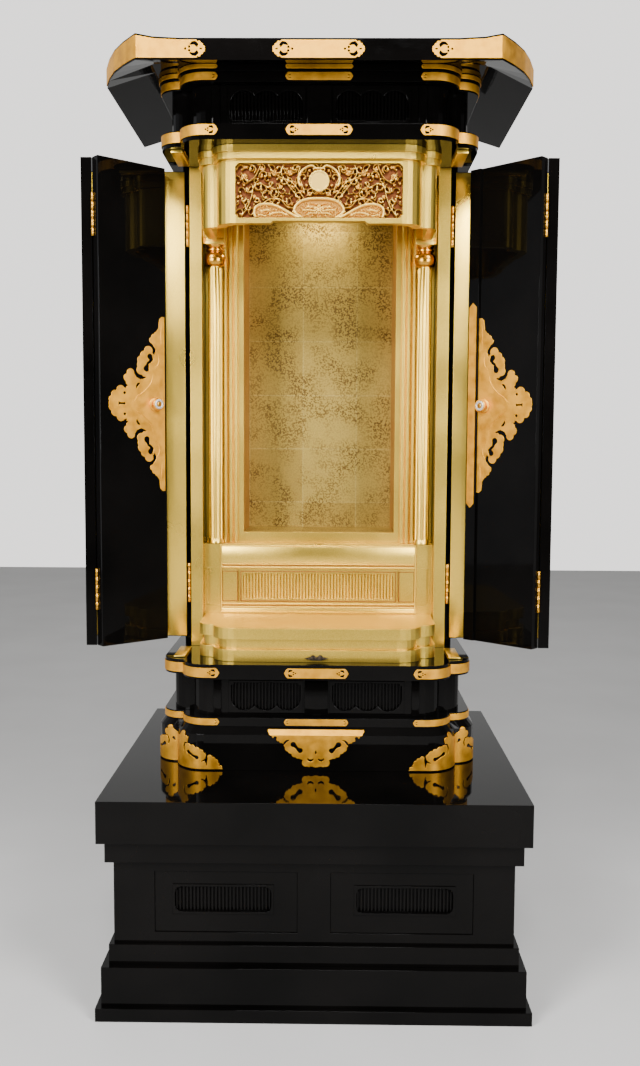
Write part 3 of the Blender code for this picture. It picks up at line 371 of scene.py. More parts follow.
@dataclass(frozen=True)
class DarkMetal(Finish):
    """Dark oxidised metal, browner and brighter where it is touched."""

    def build(self, nodes: Shading) -> bpy.types.Material:
        """Oxidised metal."""
        nodes.set(Metallic=0.9)
        wear = nodes.noise(240.0, 4.0)
        nodes.drive(
            "Base Color", nodes.ramp(wear, [(0.35, (0.020, 0.016, 0.012)), (0.75, (0.16, 0.12, 0.08))])
        )
        nodes.drive("Roughness", nodes.spread(wear, 0.3, 0.55, 0.3, 0.7))
        nodes.bump(nodes.noise(600.0), 0.0001, 0.4, 0.0004)
        return nodes.material


LACQUER = Lacquer("polished_black_lacquer")
GOLD = SatinGold("satin_gold_spray")
GILT = GiltMetal("gilt_sheet")
LEAF = LeafSquares("gold_leaf_squares")
DARK = DarkMetal("oxidised_metal")
CARVED = DepthShadedGold("carved_gold", -0.0855, -0.0745)
BRONZE = SatinGold("bronze_gold", (0.50, 0.23, 0.020), (0.70, 0.36, 0.045), 0.28, 1.0)
# painted shade: dark gold that stands for the shadow in grooves and round panels
SHADE = SatinGold("painted_shade_gold", (0.20, 0.065, 0.004), (0.32, 0.12, 0.010), 0.45, 0.6)
PEARL = Pearl("knob_pearl")


def new_object(name: str, data: bpy.types.ID) -> bpy.types.Object:
    """A new object of the scene with its data."""
    thing = bpy.data.objects.new(name, data)
    bpy.context.scene.collection.objects.link(thing)
    return thing


def add_piece(
    name: str, shape: Solid, finish: Finish, slot: Slot, body: str = "case", smooth: float = 35.0
) -> bpy.types.Object:
    """Turns a shape into a piece that rides on a body.

    Args:
        name: name of the piece.
        shape: its mesh, which is freed.
        finish: its finish.
        slot: record slot of the piece; not used.
        body: CAD body that it moves with.
        smooth: angle below which edges are shaded smooth, in degrees.

    Returns:
        The piece.
    """
    bmesh.ops.remove_doubles(shape, verts=shape.verts, dist=0.000001)
    bmesh.ops.recalc_face_normals(shape, faces=shape.faces)
    mesh = bpy.data.meshes.new(name)
    shape.to_mesh(mesh)
    shape.free()
    mesh.shade_smooth()
    mesh.set_sharp_from_angle(angle=math.radians(smooth))
    piece = new_object(name, mesh)
    mesh.materials.append(finish.material())
    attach(piece, body)
    LOG.info("%s: %d faces on %s", name, len(mesh.polygons), body)
    return piece


@dataclass(frozen=True)
class Stroke:
    """A round stroke through points, each with a radius."""

    points: tuple[Point3, ...]

    def distance(self, x: np.ndarray, y: np.ndarray) -> np.ndarray:
        """Signed distance to the stroke, below zero inside it.

        Args:
            x: first coordinates.
            y: second coordinates.

        Returns:
            The distance at each place.
        """
        if len(self.points) == 1:
            ax, ay, radius = self.points[0]
            return np.hypot(x - ax, y - ay) - radius
        best = np.full(x.shape, 1e9)
        for (ax, ay, ar), (bx, by, br) in zip(self.points, self.points[1:]):
            dx, dy = bx - ax, by - ay
            length = max(dx * dx + dy * dy, 1e-12)
            share = np.clip(((x - ax) * dx + (y - ay) * dy) / length, 0.0, 1.0)
            gap = np.hypot(x - ax - share * dx, y - ay - share * dy) - (ar + (br - ar) * share)
            best = np.minimum(best, gap)
        return best

    def mirrored(self, x: float = 1.0, y: float = -1.0) -> Stroke:
        """The stroke with its coordinates multiplied, for a mirrored half."""
        return Stroke(tuple((px * x, py * y, r) for px, py, r in self.points))


@dataclass(frozen=True)
class Field:
    """A straight-sided area of a pattern, given by its corners."""

    corners: tuple[Point, ...]

    def distance(self, x: np.ndarray, y: np.ndarray) -> np.ndarray:
        """Signed distance to the area, below zero inside it."""
        inside = np.zeros(x.shape, bool)
        best = np.full(x.shape, 1e9)
        for (ax, ay), (bx, by) in zip(self.corners, self.corners[1:] + self.corners[:1]):
            dx, dy = bx - ax, by - ay
            length = max(dx * dx + dy * dy, 1e-12)
            share = np.clip(((x - ax) * dx + (y - ay) * dy) / length, 0.0, 1.0)
            best = np.minimum(best, np.hypot(x - ax - share * dx, y - ay - share * dy))
            if ay != by:
                crosses = ((ay > y) != (by > y)) & (x < (bx - ax) * (y - ay) / (by - ay) + ax)
                inside ^= crosses
        return np.where(inside, -best, best)


Shape = Stroke | Field


def rectangle(left: float, low: float, right: float, high: float) -> Field:
    """An upright rectangle of a pattern."""
    return Field(((left, low), (right, low), (right, high), (left, high)))


@dataclass
class Pattern:
    """A flat metal pattern: areas and strokes that are added, and others that are pierced through it."""

    solid: list[Shape] = field(default_factory=list)
    pierced: list[Shape] = field(default_factory=list)
    step: float = 0.0007

    def loops(self) -> list[list[Point]]:
        """Outline and holes of the pattern.

        Returns:
            Closed loops of points.
        """
        low, high = self.extent()
        xs = np.arange(low[0], high[0] + self.step, self.step)
        ys = np.arange(low[1], high[1] + self.step, self.step)
        gx, gy = np.meshgrid(xs, ys, indexing="ij")
        level = np.full(gx.shape, 1e9)
        for shape in self.solid:
            level = np.minimum(level, shape.distance(gx, gy))
        for shape in self.pierced:
            level = np.maximum(level, -shape.distance(gx, gy))
        return contour(level, xs, ys)

    def extent(self) -> tuple[Point, Point]:
        """Corners of the pattern's box, with a margin."""
        xs: list[float] = []
        ys: list[float] = []
        for shape in self.solid:
            places = shape.corners if isinstance(shape, Field) else shape.points
            for place in places:
                radius = place[2] if len(place) == 3 else 0.0
                xs += [place[0] - radius, place[0] + radius]
                ys += [place[1] - radius, place[1] + radius]
        edge = 3 * self.step
        return (min(xs) - edge, min(ys) - edge), (max(xs) + edge, max(ys) + edge)


def contour(level: np.ndarray, xs: np.ndarray, ys: np.ndarray) -> list[list[Point]]:
    """Loops where a grid of values crosses zero, by marching squares.

    Args:
        level: values, below zero inside.
        xs: first grid coordinates.
        ys: second grid coordinates.

    Returns:
        Closed loops of points.
    """
    inside = level < 0.0
    crossings: dict[tuple[int, int, int], list[tuple[int, int, int]]] = {}
    mixed = inside[:-1, :-1].astype(int) + inside[1:, :-1] + inside[1:, 1:] + inside[:-1, 1:]
    for i, j in np.argwhere((mixed > 0) & (mixed < 4)):
        corners = [inside[i, j], inside[i + 1, j], inside[i + 1, j + 1], inside[i, j + 1]]
        edges = [(i, j, 0), (i + 1, j, 1), (i, j + 1, 0), (i, j, 1)]
        cut = [edges[k] for k in range(4) if corners[k] != corners[(k + 1) % 4]]
        pairs = [(cut[0], cut[1])] if len(cut) == 2 else [(edges[3], edges[0]), (edges[1], edges[2])]
        if len(cut) == 4 and not corners[0]:
            pairs = [(edges[0], edges[1]), (edges[2], edges[3])]
            pairs = pairs if corners[1] else [(edges[3], edges[0]), (edges[1], edges[2])]
        for a, b in pairs:
            crossings.setdefault(a, []).append(b)
            crossings.setdefault(b, []).append(a)

    def place(edge: tuple[int, int, int]) -> Point:
        """Point where an edge crosses zero."""
        i, j, way = edge
        first = level[i, j]
        second = level[i + 1, j] if way == 0 else level[i, j + 1]
        share = first / (first - second) if first != second else 0.5
        if way == 0:
            return (float(xs[i] + share * (xs[i + 1] - xs[i])), float(ys[j]))
        return (float(xs[i]), float(ys[j] + share * (ys[j + 1] - ys[j])))

    loops: list[list[Point]] = []
    while crossings:
        start = next(iter(crossings))
        loop = [start]
        here = crossings[start].pop()
        crossings[here].remove(start)
        while here != start:
            loop.append(here)
            following = crossings[here].pop()
            crossings[following].remove(here)
            here = following
        for edge in loop:
            if edge in crossings and not crossings[edge]:
                del crossings[edge]
        if len(loop) > 6:
            loops.append(thinned([place(edge) for edge in loop]))
    return loops


def thinned(points: list[Point], slack: float = 0.00004) -> list[Point]:
    """Drops the points of a loop that lie on a straight run."""
    kept: list[Point] = []
    count = len(points)
    for index, here in enumerate(points):
        before = kept[-1] if kept else points[-1]
        after = points[(index + 1) % count]
        dx, dy = after[0] - before[0], after[1] - before[1]
        length = math.hypot(dx, dy) or 1e-9
        off = abs((here[0] - before[0]) * dy - (here[1] - before[1]) * dx) / length
        if off > slack or length > 0.006:
            kept.append(here)
    return kept if len(kept) > 5 else points


@dataclass
class Sheet:
    """A sheet-metal fitting cut from a pattern and laid on a surface."""

    name: str
    pattern: Pattern
    wrap: Wrap
    thickness: float = 0.0012
    rim: float = 0.0003
    lift: float = 0.0002
    bends: tuple[float, ...] = ()
    folds: tuple[float, ...] = ()

    def mesh(self) -> Solid:
        """Cuts the sheet, divides it where it bends and lays it on its surface.

        Returns:
            The laid sheet.
        """
        curve = bpy.data.curves.new(self.name, "CURVE")
        curve.dimensions = "2D"
        curve.fill_mode = "BOTH"
        for loop in self.pattern.loops():
            spline = curve.splines.new("POLY")
            spline.points.add(len(loop) - 1)
            for point, (x, y) in zip(spline.points, loop):
                point.co = (x, y, 0.0, 1.0)
            spline.use_cyclic_u = True
        curve.extrude = self.thickness / 2 - self.rim
        curve.bevel_depth = self.rim
        curve.bevel_resolution = 0
        curve.offset = -self.rim
        host = new_object(self.name, curve)
        graph = bpy.context.evaluated_depsgraph_get()
        flat = bpy.data.meshes.new_from_object(host.evaluated_get(graph))
        bpy.data.objects.remove(host)
        shape = bmesh.new()
        shape.from_mesh(flat)
        bmesh.ops.remove_doubles(shape, verts=shape.verts, dist=0.00002)
        for axis, places in ((0, self.bends), (1, self.folds)):
            for place in places:
                normal = Vector((1.0, 0.0, 0.0)) if axis == 0 else Vector((0.0, 1.0, 0.0))
                geometry = shape.verts[:] + shape.edges[:] + shape.faces[:]
                bmesh.ops.bisect_plane(shape, geom=geometry, plane_co=normal * place, plane_no=normal)
        for vert in shape.verts:
            x, y, depth = vert.co
            vert.co = self.wrap(x, y, depth + self.thickness / 2 + self.lift)
        return shape


def skinned(shape: Solid, rings: Sequence[list[bmesh.types.BMVert]]) -> Solid:
    """Closes a shape over its rings of points, from the first to the last."""
    sides = len(rings[0])
    for lower, upper in zip(rings, rings[1:]):
        for step in range(sides):
            after = (step + 1) % sides
            shape.faces.new((lower[step], lower[after], upper[after], upper[step]))
    shape.faces.new(list(reversed(rings[0])))
    shape.faces.new(rings[-1])
    return shape


def tube(path: Sequence[Vector], radii: Sequence[float], sides: int = 8) -> Solid:
    """A closed round rod along a path.

    Args:
        path: points of its axis.
        radii: radius at each point.
        sides: faces around it.

    Returns:
        The rod.
    """
    shape = bmesh.new()
    rings: list[list[bmesh.types.BMVert]] = []
    up = Vector((0.0, 1.0, 0.0))
    for index, place in enumerate(path):
        ahead = path[min(index + 1, len(path) - 1)] - path[max(index - 1, 0)]
        ahead.normalize()
        across = ahead.cross(up)
        across = across.normalized() if across.length > 1e-4 else Vector((1.0, 0.0, 0.0))
        over = across.cross(ahead).normalized()
        ring = []
        for step in range(sides):
            angle = 2 * math.pi * step / sides
            ring.append(
                shape.verts.new(place + (across * math.cos(angle) + over * math.sin(angle)) * radii[index])
            )
        rings.append(ring)
    return skinned(shape, rings)


def join(shapes: Sequence[Solid]) -> Solid:
    """Puts several shapes into one and frees them."""
    whole = bmesh.new()
    for shape in shapes:
        mesh = bpy.data.meshes.new("part")
        shape.to_mesh(mesh)
        shape.free()
        whole.from_mesh(mesh)
        bpy.data.meshes.remove(mesh)
    return whole


def block(low: Vector, high: Vector, bevel: float = 0.0006) -> Solid:
    """A square-edged bar with softened edges."""
    shape = bmesh.new()
    size = high - low
    matrix = Matrix.Translation((low + high) / 2) @ Matrix.Diagonal((*size, 1.0))
    bmesh.ops.create_cube(shape, size=1.0, matrix=matrix)
    bmesh.ops.bevel(shape, geom=shape.edges[:], offset=bevel, segments=2, affect="EDGES", profile=0.5)
    return shape


@dataclass(frozen=True)
class LobedEdge:
    """Edge of a board with a front lobe and a side lobe at each corner, followed from its notch."""

    notch: float
    side: float
    front: float
    front_lobe: float
    side_lobe: float
    back: float = 0.275

    def points(self) -> list[Point]:
        """Right half of the edge from the middle of its front to its back."""
        steps = 24
        step_back = self.front + self.front_lobe
        path: list[Point] = [(0.0, self.front)]
        for index in range(steps + 1):
            angle = -math.pi / 2 * (1 - index / steps)
            x = self.notch - self.front_lobe + self.front_lobe * math.cos(angle)
            path.append((x, step_back + self.front_lobe * math.sin(angle)))
        reach = min(self.side_lobe, self.side - self.notch)
        if self.side - reach > self.notch + 1e-5:
            path.append((self.notch + 1e-5, step_back))
        for index in range(steps + 1):
            angle = -math.pi / 2 * (1 - index / steps)
            x = self.side - reach + reach * math.cos(angle)
            path.append((x, step_back + self.side_lobe + self.side_lobe * math.sin(angle)))
        path.append((self.side, self.back))
        return path

    def wrap(self, side: Side, low: float) -> Wrap:
        """Lays a flat pattern on the edge, with zero at the notch and a positive way to the side.

        Args:
            side: side of the altar.
            low: height of the pattern's zero.

        Returns:
            The function that places a point.
        """
        path = self.points()
        corner = (self.notch, self.front + self.front_lobe)
        before = [point for point in path if point[1] <= corner[1] + 1e-9 and point[0] <= self.notch + 1e-9]
        after = [corner] + [
            point for point in path if point[1] >= corner[1] - 1e-9 and point[0] > self.notch + 1e-9
        ]

        def along(line: list[Point], reach: float) -> tuple[Vector, Vector]:
            """Point and outward normal at a distance along a line."""
            for first, second in zip(line, line[1:]):
                length = math.dist(first, second)
                if reach <= length or second is line[-1]:
                    way = Vector((second[0] - first[0], second[1] - first[1], 0.0)) / max(length, 1e-9)
                    start = Vector((first[0], first[1], 0.0))
                    return start + way * reach, way
                reach -= length
            return Vector((*line[-1], 0.0)), Vector((0.0, 1.0, 0.0))

        def place(s: float, height: float, depth: float) -> Vector:
            """World place of a pattern point."""
            if s < 0.0:
                at, way = along(list(reversed(before)), -s)
                spot = at + Vector((-way.y, way.x, 0.0)) * depth
                if -s < 3 * depth:
                    spot.y = min(spot.y, corner[1] - depth)
            else:
                at, way = along(after, s)
                spot = at + Vector((way.y, -way.x, 0.0)) * depth
                if s < 3 * depth:
                    spot.x = max(spot.x, corner[0] + depth)
            return Vector((side.value * spot.x, spot.y, low + height))

        return place

    def front_place(self, x: float) -> float:
        """Distance from the notch to a place on the straight front, as a negative length."""
        return -(math.pi / 2 * self.front_lobe + self.notch - self.front_lobe - x)


def bend_places(start: float, end: float, pitch: float = 0.004) -> tuple[float, ...]:
    """Even places at which a sheet is divided so that it can bend."""
    count = max(1, int((end - start) / pitch))
    return tuple(start + (end - start) * index / count for index in range(1, count))


def flat_wrap(face: float, low: float, middle: float = 0.0) -> Wrap:
    """Lays a pattern on a flat front that faces -Y."""
    return lambda x, y, depth: Vector((middle + x, face - depth, low + y))


def evaluated(host: bpy.types.Object) -> Solid:
    """The plain mesh of an object with its modifiers."""
    host.update_tag()
    bpy.context.view_layer.update()
    graph = bpy.context.evaluated_depsgraph_get()
    mesh = bpy.data.meshes.new_from_object(host.evaluated_get(graph))
    shape = bmesh.new()
    shape.from_mesh(mesh)
    bpy.data.meshes.remove(mesh)
    return shape


def end_tree(tree: bpy.types.NodeTree, last: Socket, finish: Finish) -> None:
    """Ends a node tree: makes its instances real, gives them a finish and links the output."""
    nodes, links = tree.nodes, tree.links
    real = nodes.new("GeometryNodeRealizeInstances")
    links.new(last, real.inputs["Geometry"])
    dress = nodes.new("GeometryNodeSetMaterial")
    dress.inputs["Material"].default_value = finish.material()
    links.new(real.outputs["Geometry"], dress.inputs["Geometry"])
    out = nodes.new("NodeGroupOutput")
    links.new(dress.outputs["Geometry"], out.inputs["Geometry"])


def run_tree(tree: bpy.types.NodeTree, host: bpy.types.Object, values: dict[str, object]) -> Solid:
    """Runs a node tree on an object, which is removed, and returns its plain mesh."""
    modifier = host.modifiers.new(tree.name, "NODES")
    modifier.node_group = tree
    for key, value in values.items():
        modifier[key] = value
    shape = evaluated(host)
    host.modifiers.remove(modifier)
    bpy.data.objects.remove(host)
    return shape


@dataclass
class RowOfBars:
    """Upright rounded bars side by side, made by a node tree."""

    name: str
    count: int
    pitch: float
    radius: float
    height: float
    start: Vector

    def tree(self, finish: Finish) -> tuple[bpy.types.NodeTree, dict[str, str]]:
        """Builds the tree.

        Args:
            finish: finish of the bars.

        Returns:
            The tree and its inputs' identifiers by name.
        """
        tree = bpy.data.node_groups.new("row_of_bars", "GeometryNodeTree")
        face = tree.interface
        face.new_socket("Geometry", in_out="OUTPUT", socket_type="NodeSocketGeometry")
        kinds = {
            "Count": "NodeSocketInt",
            "Pitch": "NodeSocketVector",
            "Radius": "NodeSocketFloat",
            "Height": "NodeSocketFloat",
            "Start": "NodeSocketVector",
        }
        keys = {
            name: face.new_socket(name, in_out="INPUT", socket_type=kind).identifier
            for name, kind in kinds.items()
        }
        nodes, links = tree.nodes, tree.links
        source = nodes.new("NodeGroupInput")
        line = nodes.new("GeometryNodeMeshLine")
        links.new(source.outputs["Count"], line.inputs["Count"])
        links.new(source.outputs["Start"], line.inputs["Start Location"])
        links.new(source.outputs["Pitch"], line.inputs["Offset"])
        bar = nodes.new("GeometryNodeMeshCylinder")
        bar.inputs["Vertices"].default_value = 10
        links.new(source.outputs["Radius"], bar.inputs["Radius"])
        links.new(source.outputs["Height"], bar.inputs["Depth"])
        copies = nodes.new("GeometryNodeInstanceOnPoints")
        links.new(line.outputs["Mesh"], copies.inputs["Points"])
        links.new(bar.outputs["Mesh"], copies.inputs["Instance"])
        end_tree(tree, copies.outputs["Instances"], finish)
        return tree, keys

    def mesh(self, finish: Finish) -> Solid:
        """Runs the tree and returns its plain mesh."""
        tree, keys = self.tree(finish)
        values = {
            keys["Count"]: self.count,
            keys["Pitch"]: (self.pitch, 0.0, 0.0),
            keys["Radius"]: self.radius,
            keys["Height"]: self.height,
            keys["Start"]: tuple(self.start),
        }
        return run_tree(tree, new_object(self.name, bpy.data.meshes.new(self.name)), values)


@dataclass
class Moulding:
    """A round bead that follows a path, made by a node tree."""

    name: str
    path: list[Vector]
    radius: float

    def mesh(self, finish: Finish) -> Solid:
        """Sweeps a round profile along the path.

        Args:
            finish: finish of the bead.

        Returns:
            The bead's mesh.
        """
        tree = bpy.data.node_groups.new("moulding", "GeometryNodeTree")
        face = tree.interface
        face.new_socket("Geometry", in_out="OUTPUT", socket_type="NodeSocketGeometry")
        face.new_socket("Geometry", in_out="INPUT", socket_type="NodeSocketGeometry")
        key = face.new_socket("Radius", in_out="INPUT", socket_type="NodeSocketFloat").identifier
        nodes, links = tree.nodes, tree.links
        source = nodes.new("NodeGroupInput")
        ring = nodes.new("GeometryNodeCurvePrimitiveCircle")
        ring.inputs["Resolution"].default_value = 14
        links.new(source.outputs["Radius"], ring.inputs["Radius"])
        sweep = nodes.new("GeometryNodeCurveToMesh")
        sweep.inputs["Fill Caps"].default_value = True
        links.new(source.outputs["Geometry"], sweep.inputs["Curve"])
        links.new(ring.outputs["Curve"], sweep.inputs["Profile Curve"])
        end_tree(tree, sweep.outputs["Mesh"], finish)
        curve = bpy.data.curves.new(self.name, "CURVE")
        curve.dimensions = "3D"
        spline = curve.splines.new("POLY")
        spline.points.add(len(self.path) - 1)
        for point, place in zip(spline.points, self.path):
            point.co = (*place, 1.0)
        return run_tree(tree, new_object(self.name, curve), {key: self.radius})


def disc(x: float, y: float, radius: float) -> Stroke:
    """A round spot."""
    return Stroke(((x, y, radius),))


def line(*points: Point3) -> Stroke:
    """A stroke through places, each with its radius."""
    return Stroke(tuple(points))


@dataclass
class Straps:
    """Gilt straps round the boards, with pointed and pierced ends."""

    centre_half: float = 0.056
    end_place: float = 0.168

    def end_holes(self, x: float, half: float, way: float, large: bool) -> list[Shape]:
        """Holes near a pointed end.

        Args:
            x: place of the point.
            half: half the strap's height.
            way: 1 if the point is at the right, -1 at the left.
            large: whether the end has crescents and dots in place of slots.

        Returns:
            The holes.
        """
        holes: list[Shape] = []
        for up in (-1, 1):
            if large:
                holes.append(
                    line(
                        (x - way * 1.55 * half, half + up * 0.55 * half, 0.17 * half),
                        (x - way * 1.15 * half, half + up * 0.52 * half, 0.22 * half),
                        (x - way * 0.95 * half, half + up * 0.25 * half, 0.09 * half),
                    )
                )
                holes.append(disc(x - way * 1.9 * half, half + up * 0.22 * half, 0.15 * half))
            else:
                holes.append(
                    line(
                        (x - way * 1.35 * half, half + up * 0.45 * half, 0.10 * half),
                        (x - way * 0.85 * half, half + up * 0.22 * half, 0.10 * half),
                    )
                )
        if large:
            holes.append(disc(x - way * 2.3 * half, half, 0.15 * half))
        return holes

    def outline(self, start: float, end: float, height: float) -> Field:
        """Long strap that comes to a point at both ends."""
        half = height / 2
        right = [(end - 0.75 * half, 0.0), (end - 0.4 * half, 0.14 * height), (end, half)]
        right += [(end - 0.4 * half, 0.86 * height), (end - 0.75 * half, height)]
        left = [(start + end - x, y) for x, y in reversed(right)]
        return Field(tuple(right + left))

    def build(self, name: str, edge: LobedEdge, low: float, height: float, large: bool) -> None:
        """Makes the centre strap and the two corner straps of a board.

        Args:
            name: start of the pieces' names.
            edge: board's edge.
            low: height of the straps' lower side.
            height: height of the straps.
            large: whether the ends have crescents and dots.
        """
        half = height / 2
        shapes = []
        span = self.centre_half
        holes = self.end_holes(span, half, 1, large) + self.end_holes(-span, half, -1, large)
        pattern = Pattern([self.outline(-span, span, height)], holes)
        shapes.append(Sheet(name, pattern, flat_wrap(edge.front, low)).mesh())
        for side in Side:
            start = edge.front_place(self.end_place)
            stop = math.pi / 2 * edge.side_lobe - (edge.front + edge.front_lobe + edge.side_lobe)
            strap = self.outline(start, stop, height)
            holes = self.end_holes(start, half, -1, large) + self.end_holes(stop, half, 1, large)
            bends = bend_places(start, stop) + (0.0,)
            sheet = Sheet(name, Pattern([strap], holes), edge.wrap(side, low), bends=bends)
            shapes.append(sheet.mesh())
        add_piece(name, join(shapes), GILT, Slot.GILT)


@dataclass
class RoofPlates:
    """Three pierced plates on the roof's edge: one in front and one round each corner."""

    low: float = 1.5283
    tall: float = 0.0279
    front: float = -0.212
    centre_half: float = 0.073
    rim: tuple[Point3, ...] = (
        (0.177, -0.212, 0.0), (0.220, -0.212, 0.0), (0.2608, -0.212, 0.0021), (0.288, -0.212, 0.0070),
        (0.31193, -0.18212, 0.00525), (0.33265, -0.15073, 0.0035), (0.34779, -0.11612, 0.00175),
        (0.3597, -0.080, 0.0),
    )

    def length(self) -> float:
        """Length of the rim's corner part."""
        return sum(math.dist(a[:2], b[:2]) for a, b in zip(self.rim, self.rim[1:]))

    def wrap(self, side: Side) -> Wrap:
        """Lays a pattern along the rim and lifts it with the roof's corner.

        Args:
            side: side of the altar.

        Returns:
            The function that places a point.
        """

        def place(s: float, height: float, depth: float) -> Vector:
            """World place of a pattern point."""
            reach = max(0.0, s)
            for index, (first, second) in enumerate(zip(self.rim, self.rim[1:])):
                run = math.dist(first[:2], second[:2])
                if reach <= run or index == len(self.rim) - 2:
                    share = reach / run
                    way = Vector((second[0] - first[0], second[1] - first[1], 0.0)) / run
                    spot = Vector((first[0], first[1], 0.0)).lerp(Vector((second[0], second[1], 0.0)), share)
                    spot += Vector((way.y, -way.x, 0.0)) * depth + way * min(0.0, s)
                    lift = first[2] + (second[2] - first[2]) * share
                    return Vector((side.value * spot.x, spot.y, self.low + height * (1 + lift / self.tall)))
                reach -= run
            return Vector()

        return place

    def scalloped_end(self, end: float, way: float) -> tuple[list[Shape], list[Shape]]:
        """Scallops and holes of a plate's free end.

        Args:
            end: place of the tip.
            way: 1 if the tip is at the right, -1 at the left.

        Returns:
            What is added and what is pierced.
        """
        tall = self.tall
        mid = tall / 2
        solid: list[Shape] = [
            Field(((end - way * tall * 0.60, 0.0), (end, mid), (end - way * tall * 0.60, tall)))
        ]
        pierced: list[Shape] = []
        for up in (-1, 1):
            for back, off, radius in (
                (0.56, 0.405, 0.092), (0.375, 0.335, 0.105), (0.235, 0.22, 0.10), (0.115, 0.095, 0.088)
            ):
                solid.append(disc(end - way * back * tall, mid + up * off * tall, radius * tall))
            crescent = (
                (0.86, 0.235, 0.040), (0.74, 0.300, 0.078), (0.60, 0.315, 0.092), (0.50, 0.225, 0.090),
                (0.49, 0.13, 0.04)
            )
            pierced.append(
                line(
                    *((end - way * back * tall, mid + up * off * tall, r * tall) for back, off, r in crescent)
                )
            )
            pierced.append(disc(end - way * 0.92 * tall, mid + up * 0.10 * tall, 0.062 * tall))
        pierced.append(
            line((end - way * 0.30 * tall, mid, 0.035 * tall), (end - way * 0.22 * tall, mid, 0.035 * tall))
        )
        pierced.append(disc(end - way * 1.14 * tall, mid, 0.062 * tall))
        return solid, pierced

    def build(self) -> None:
        """The centre plate and the two corner plates."""
        tall = self.tall
        half = self.centre_half
        inner = 0.60 * tall
        solid: list[Shape] = [rectangle(inner - half, 0.0, half - inner, tall)]
        pierced: list[Shape] = []
        for way in (-1, 1):
            grown, holes = self.scalloped_end(way * half, way)
            solid += grown
            pierced += holes
        shape = Sheet("roof_plate", Pattern(solid, pierced, 0.0005), flat_wrap(self.front, self.low)).mesh()
        piece = add_piece("gilt_roof_plate_centre", shape, GILT, Slot.GILT, smooth=25.0)
        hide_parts("roof_plate_centre")
        grown, holes = self.scalloped_end(0.0, -1)
        stop = self.length() - 0.0008
        solid = grown + [rectangle(inner, 0.0, stop, tall)]
        for side in Side:
            pattern = Pattern(solid, holes, 0.0005)
            sheet = Sheet("roof_plate", pattern, self.wrap(side), bends=bend_places(0.0, stop, 0.006))
            piece = add_piece("gilt_roof_plate_" + side.label, sheet.mesh(), GILT, Slot.GILT, smooth=25.0)
            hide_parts("roof_plate_" + side.label)


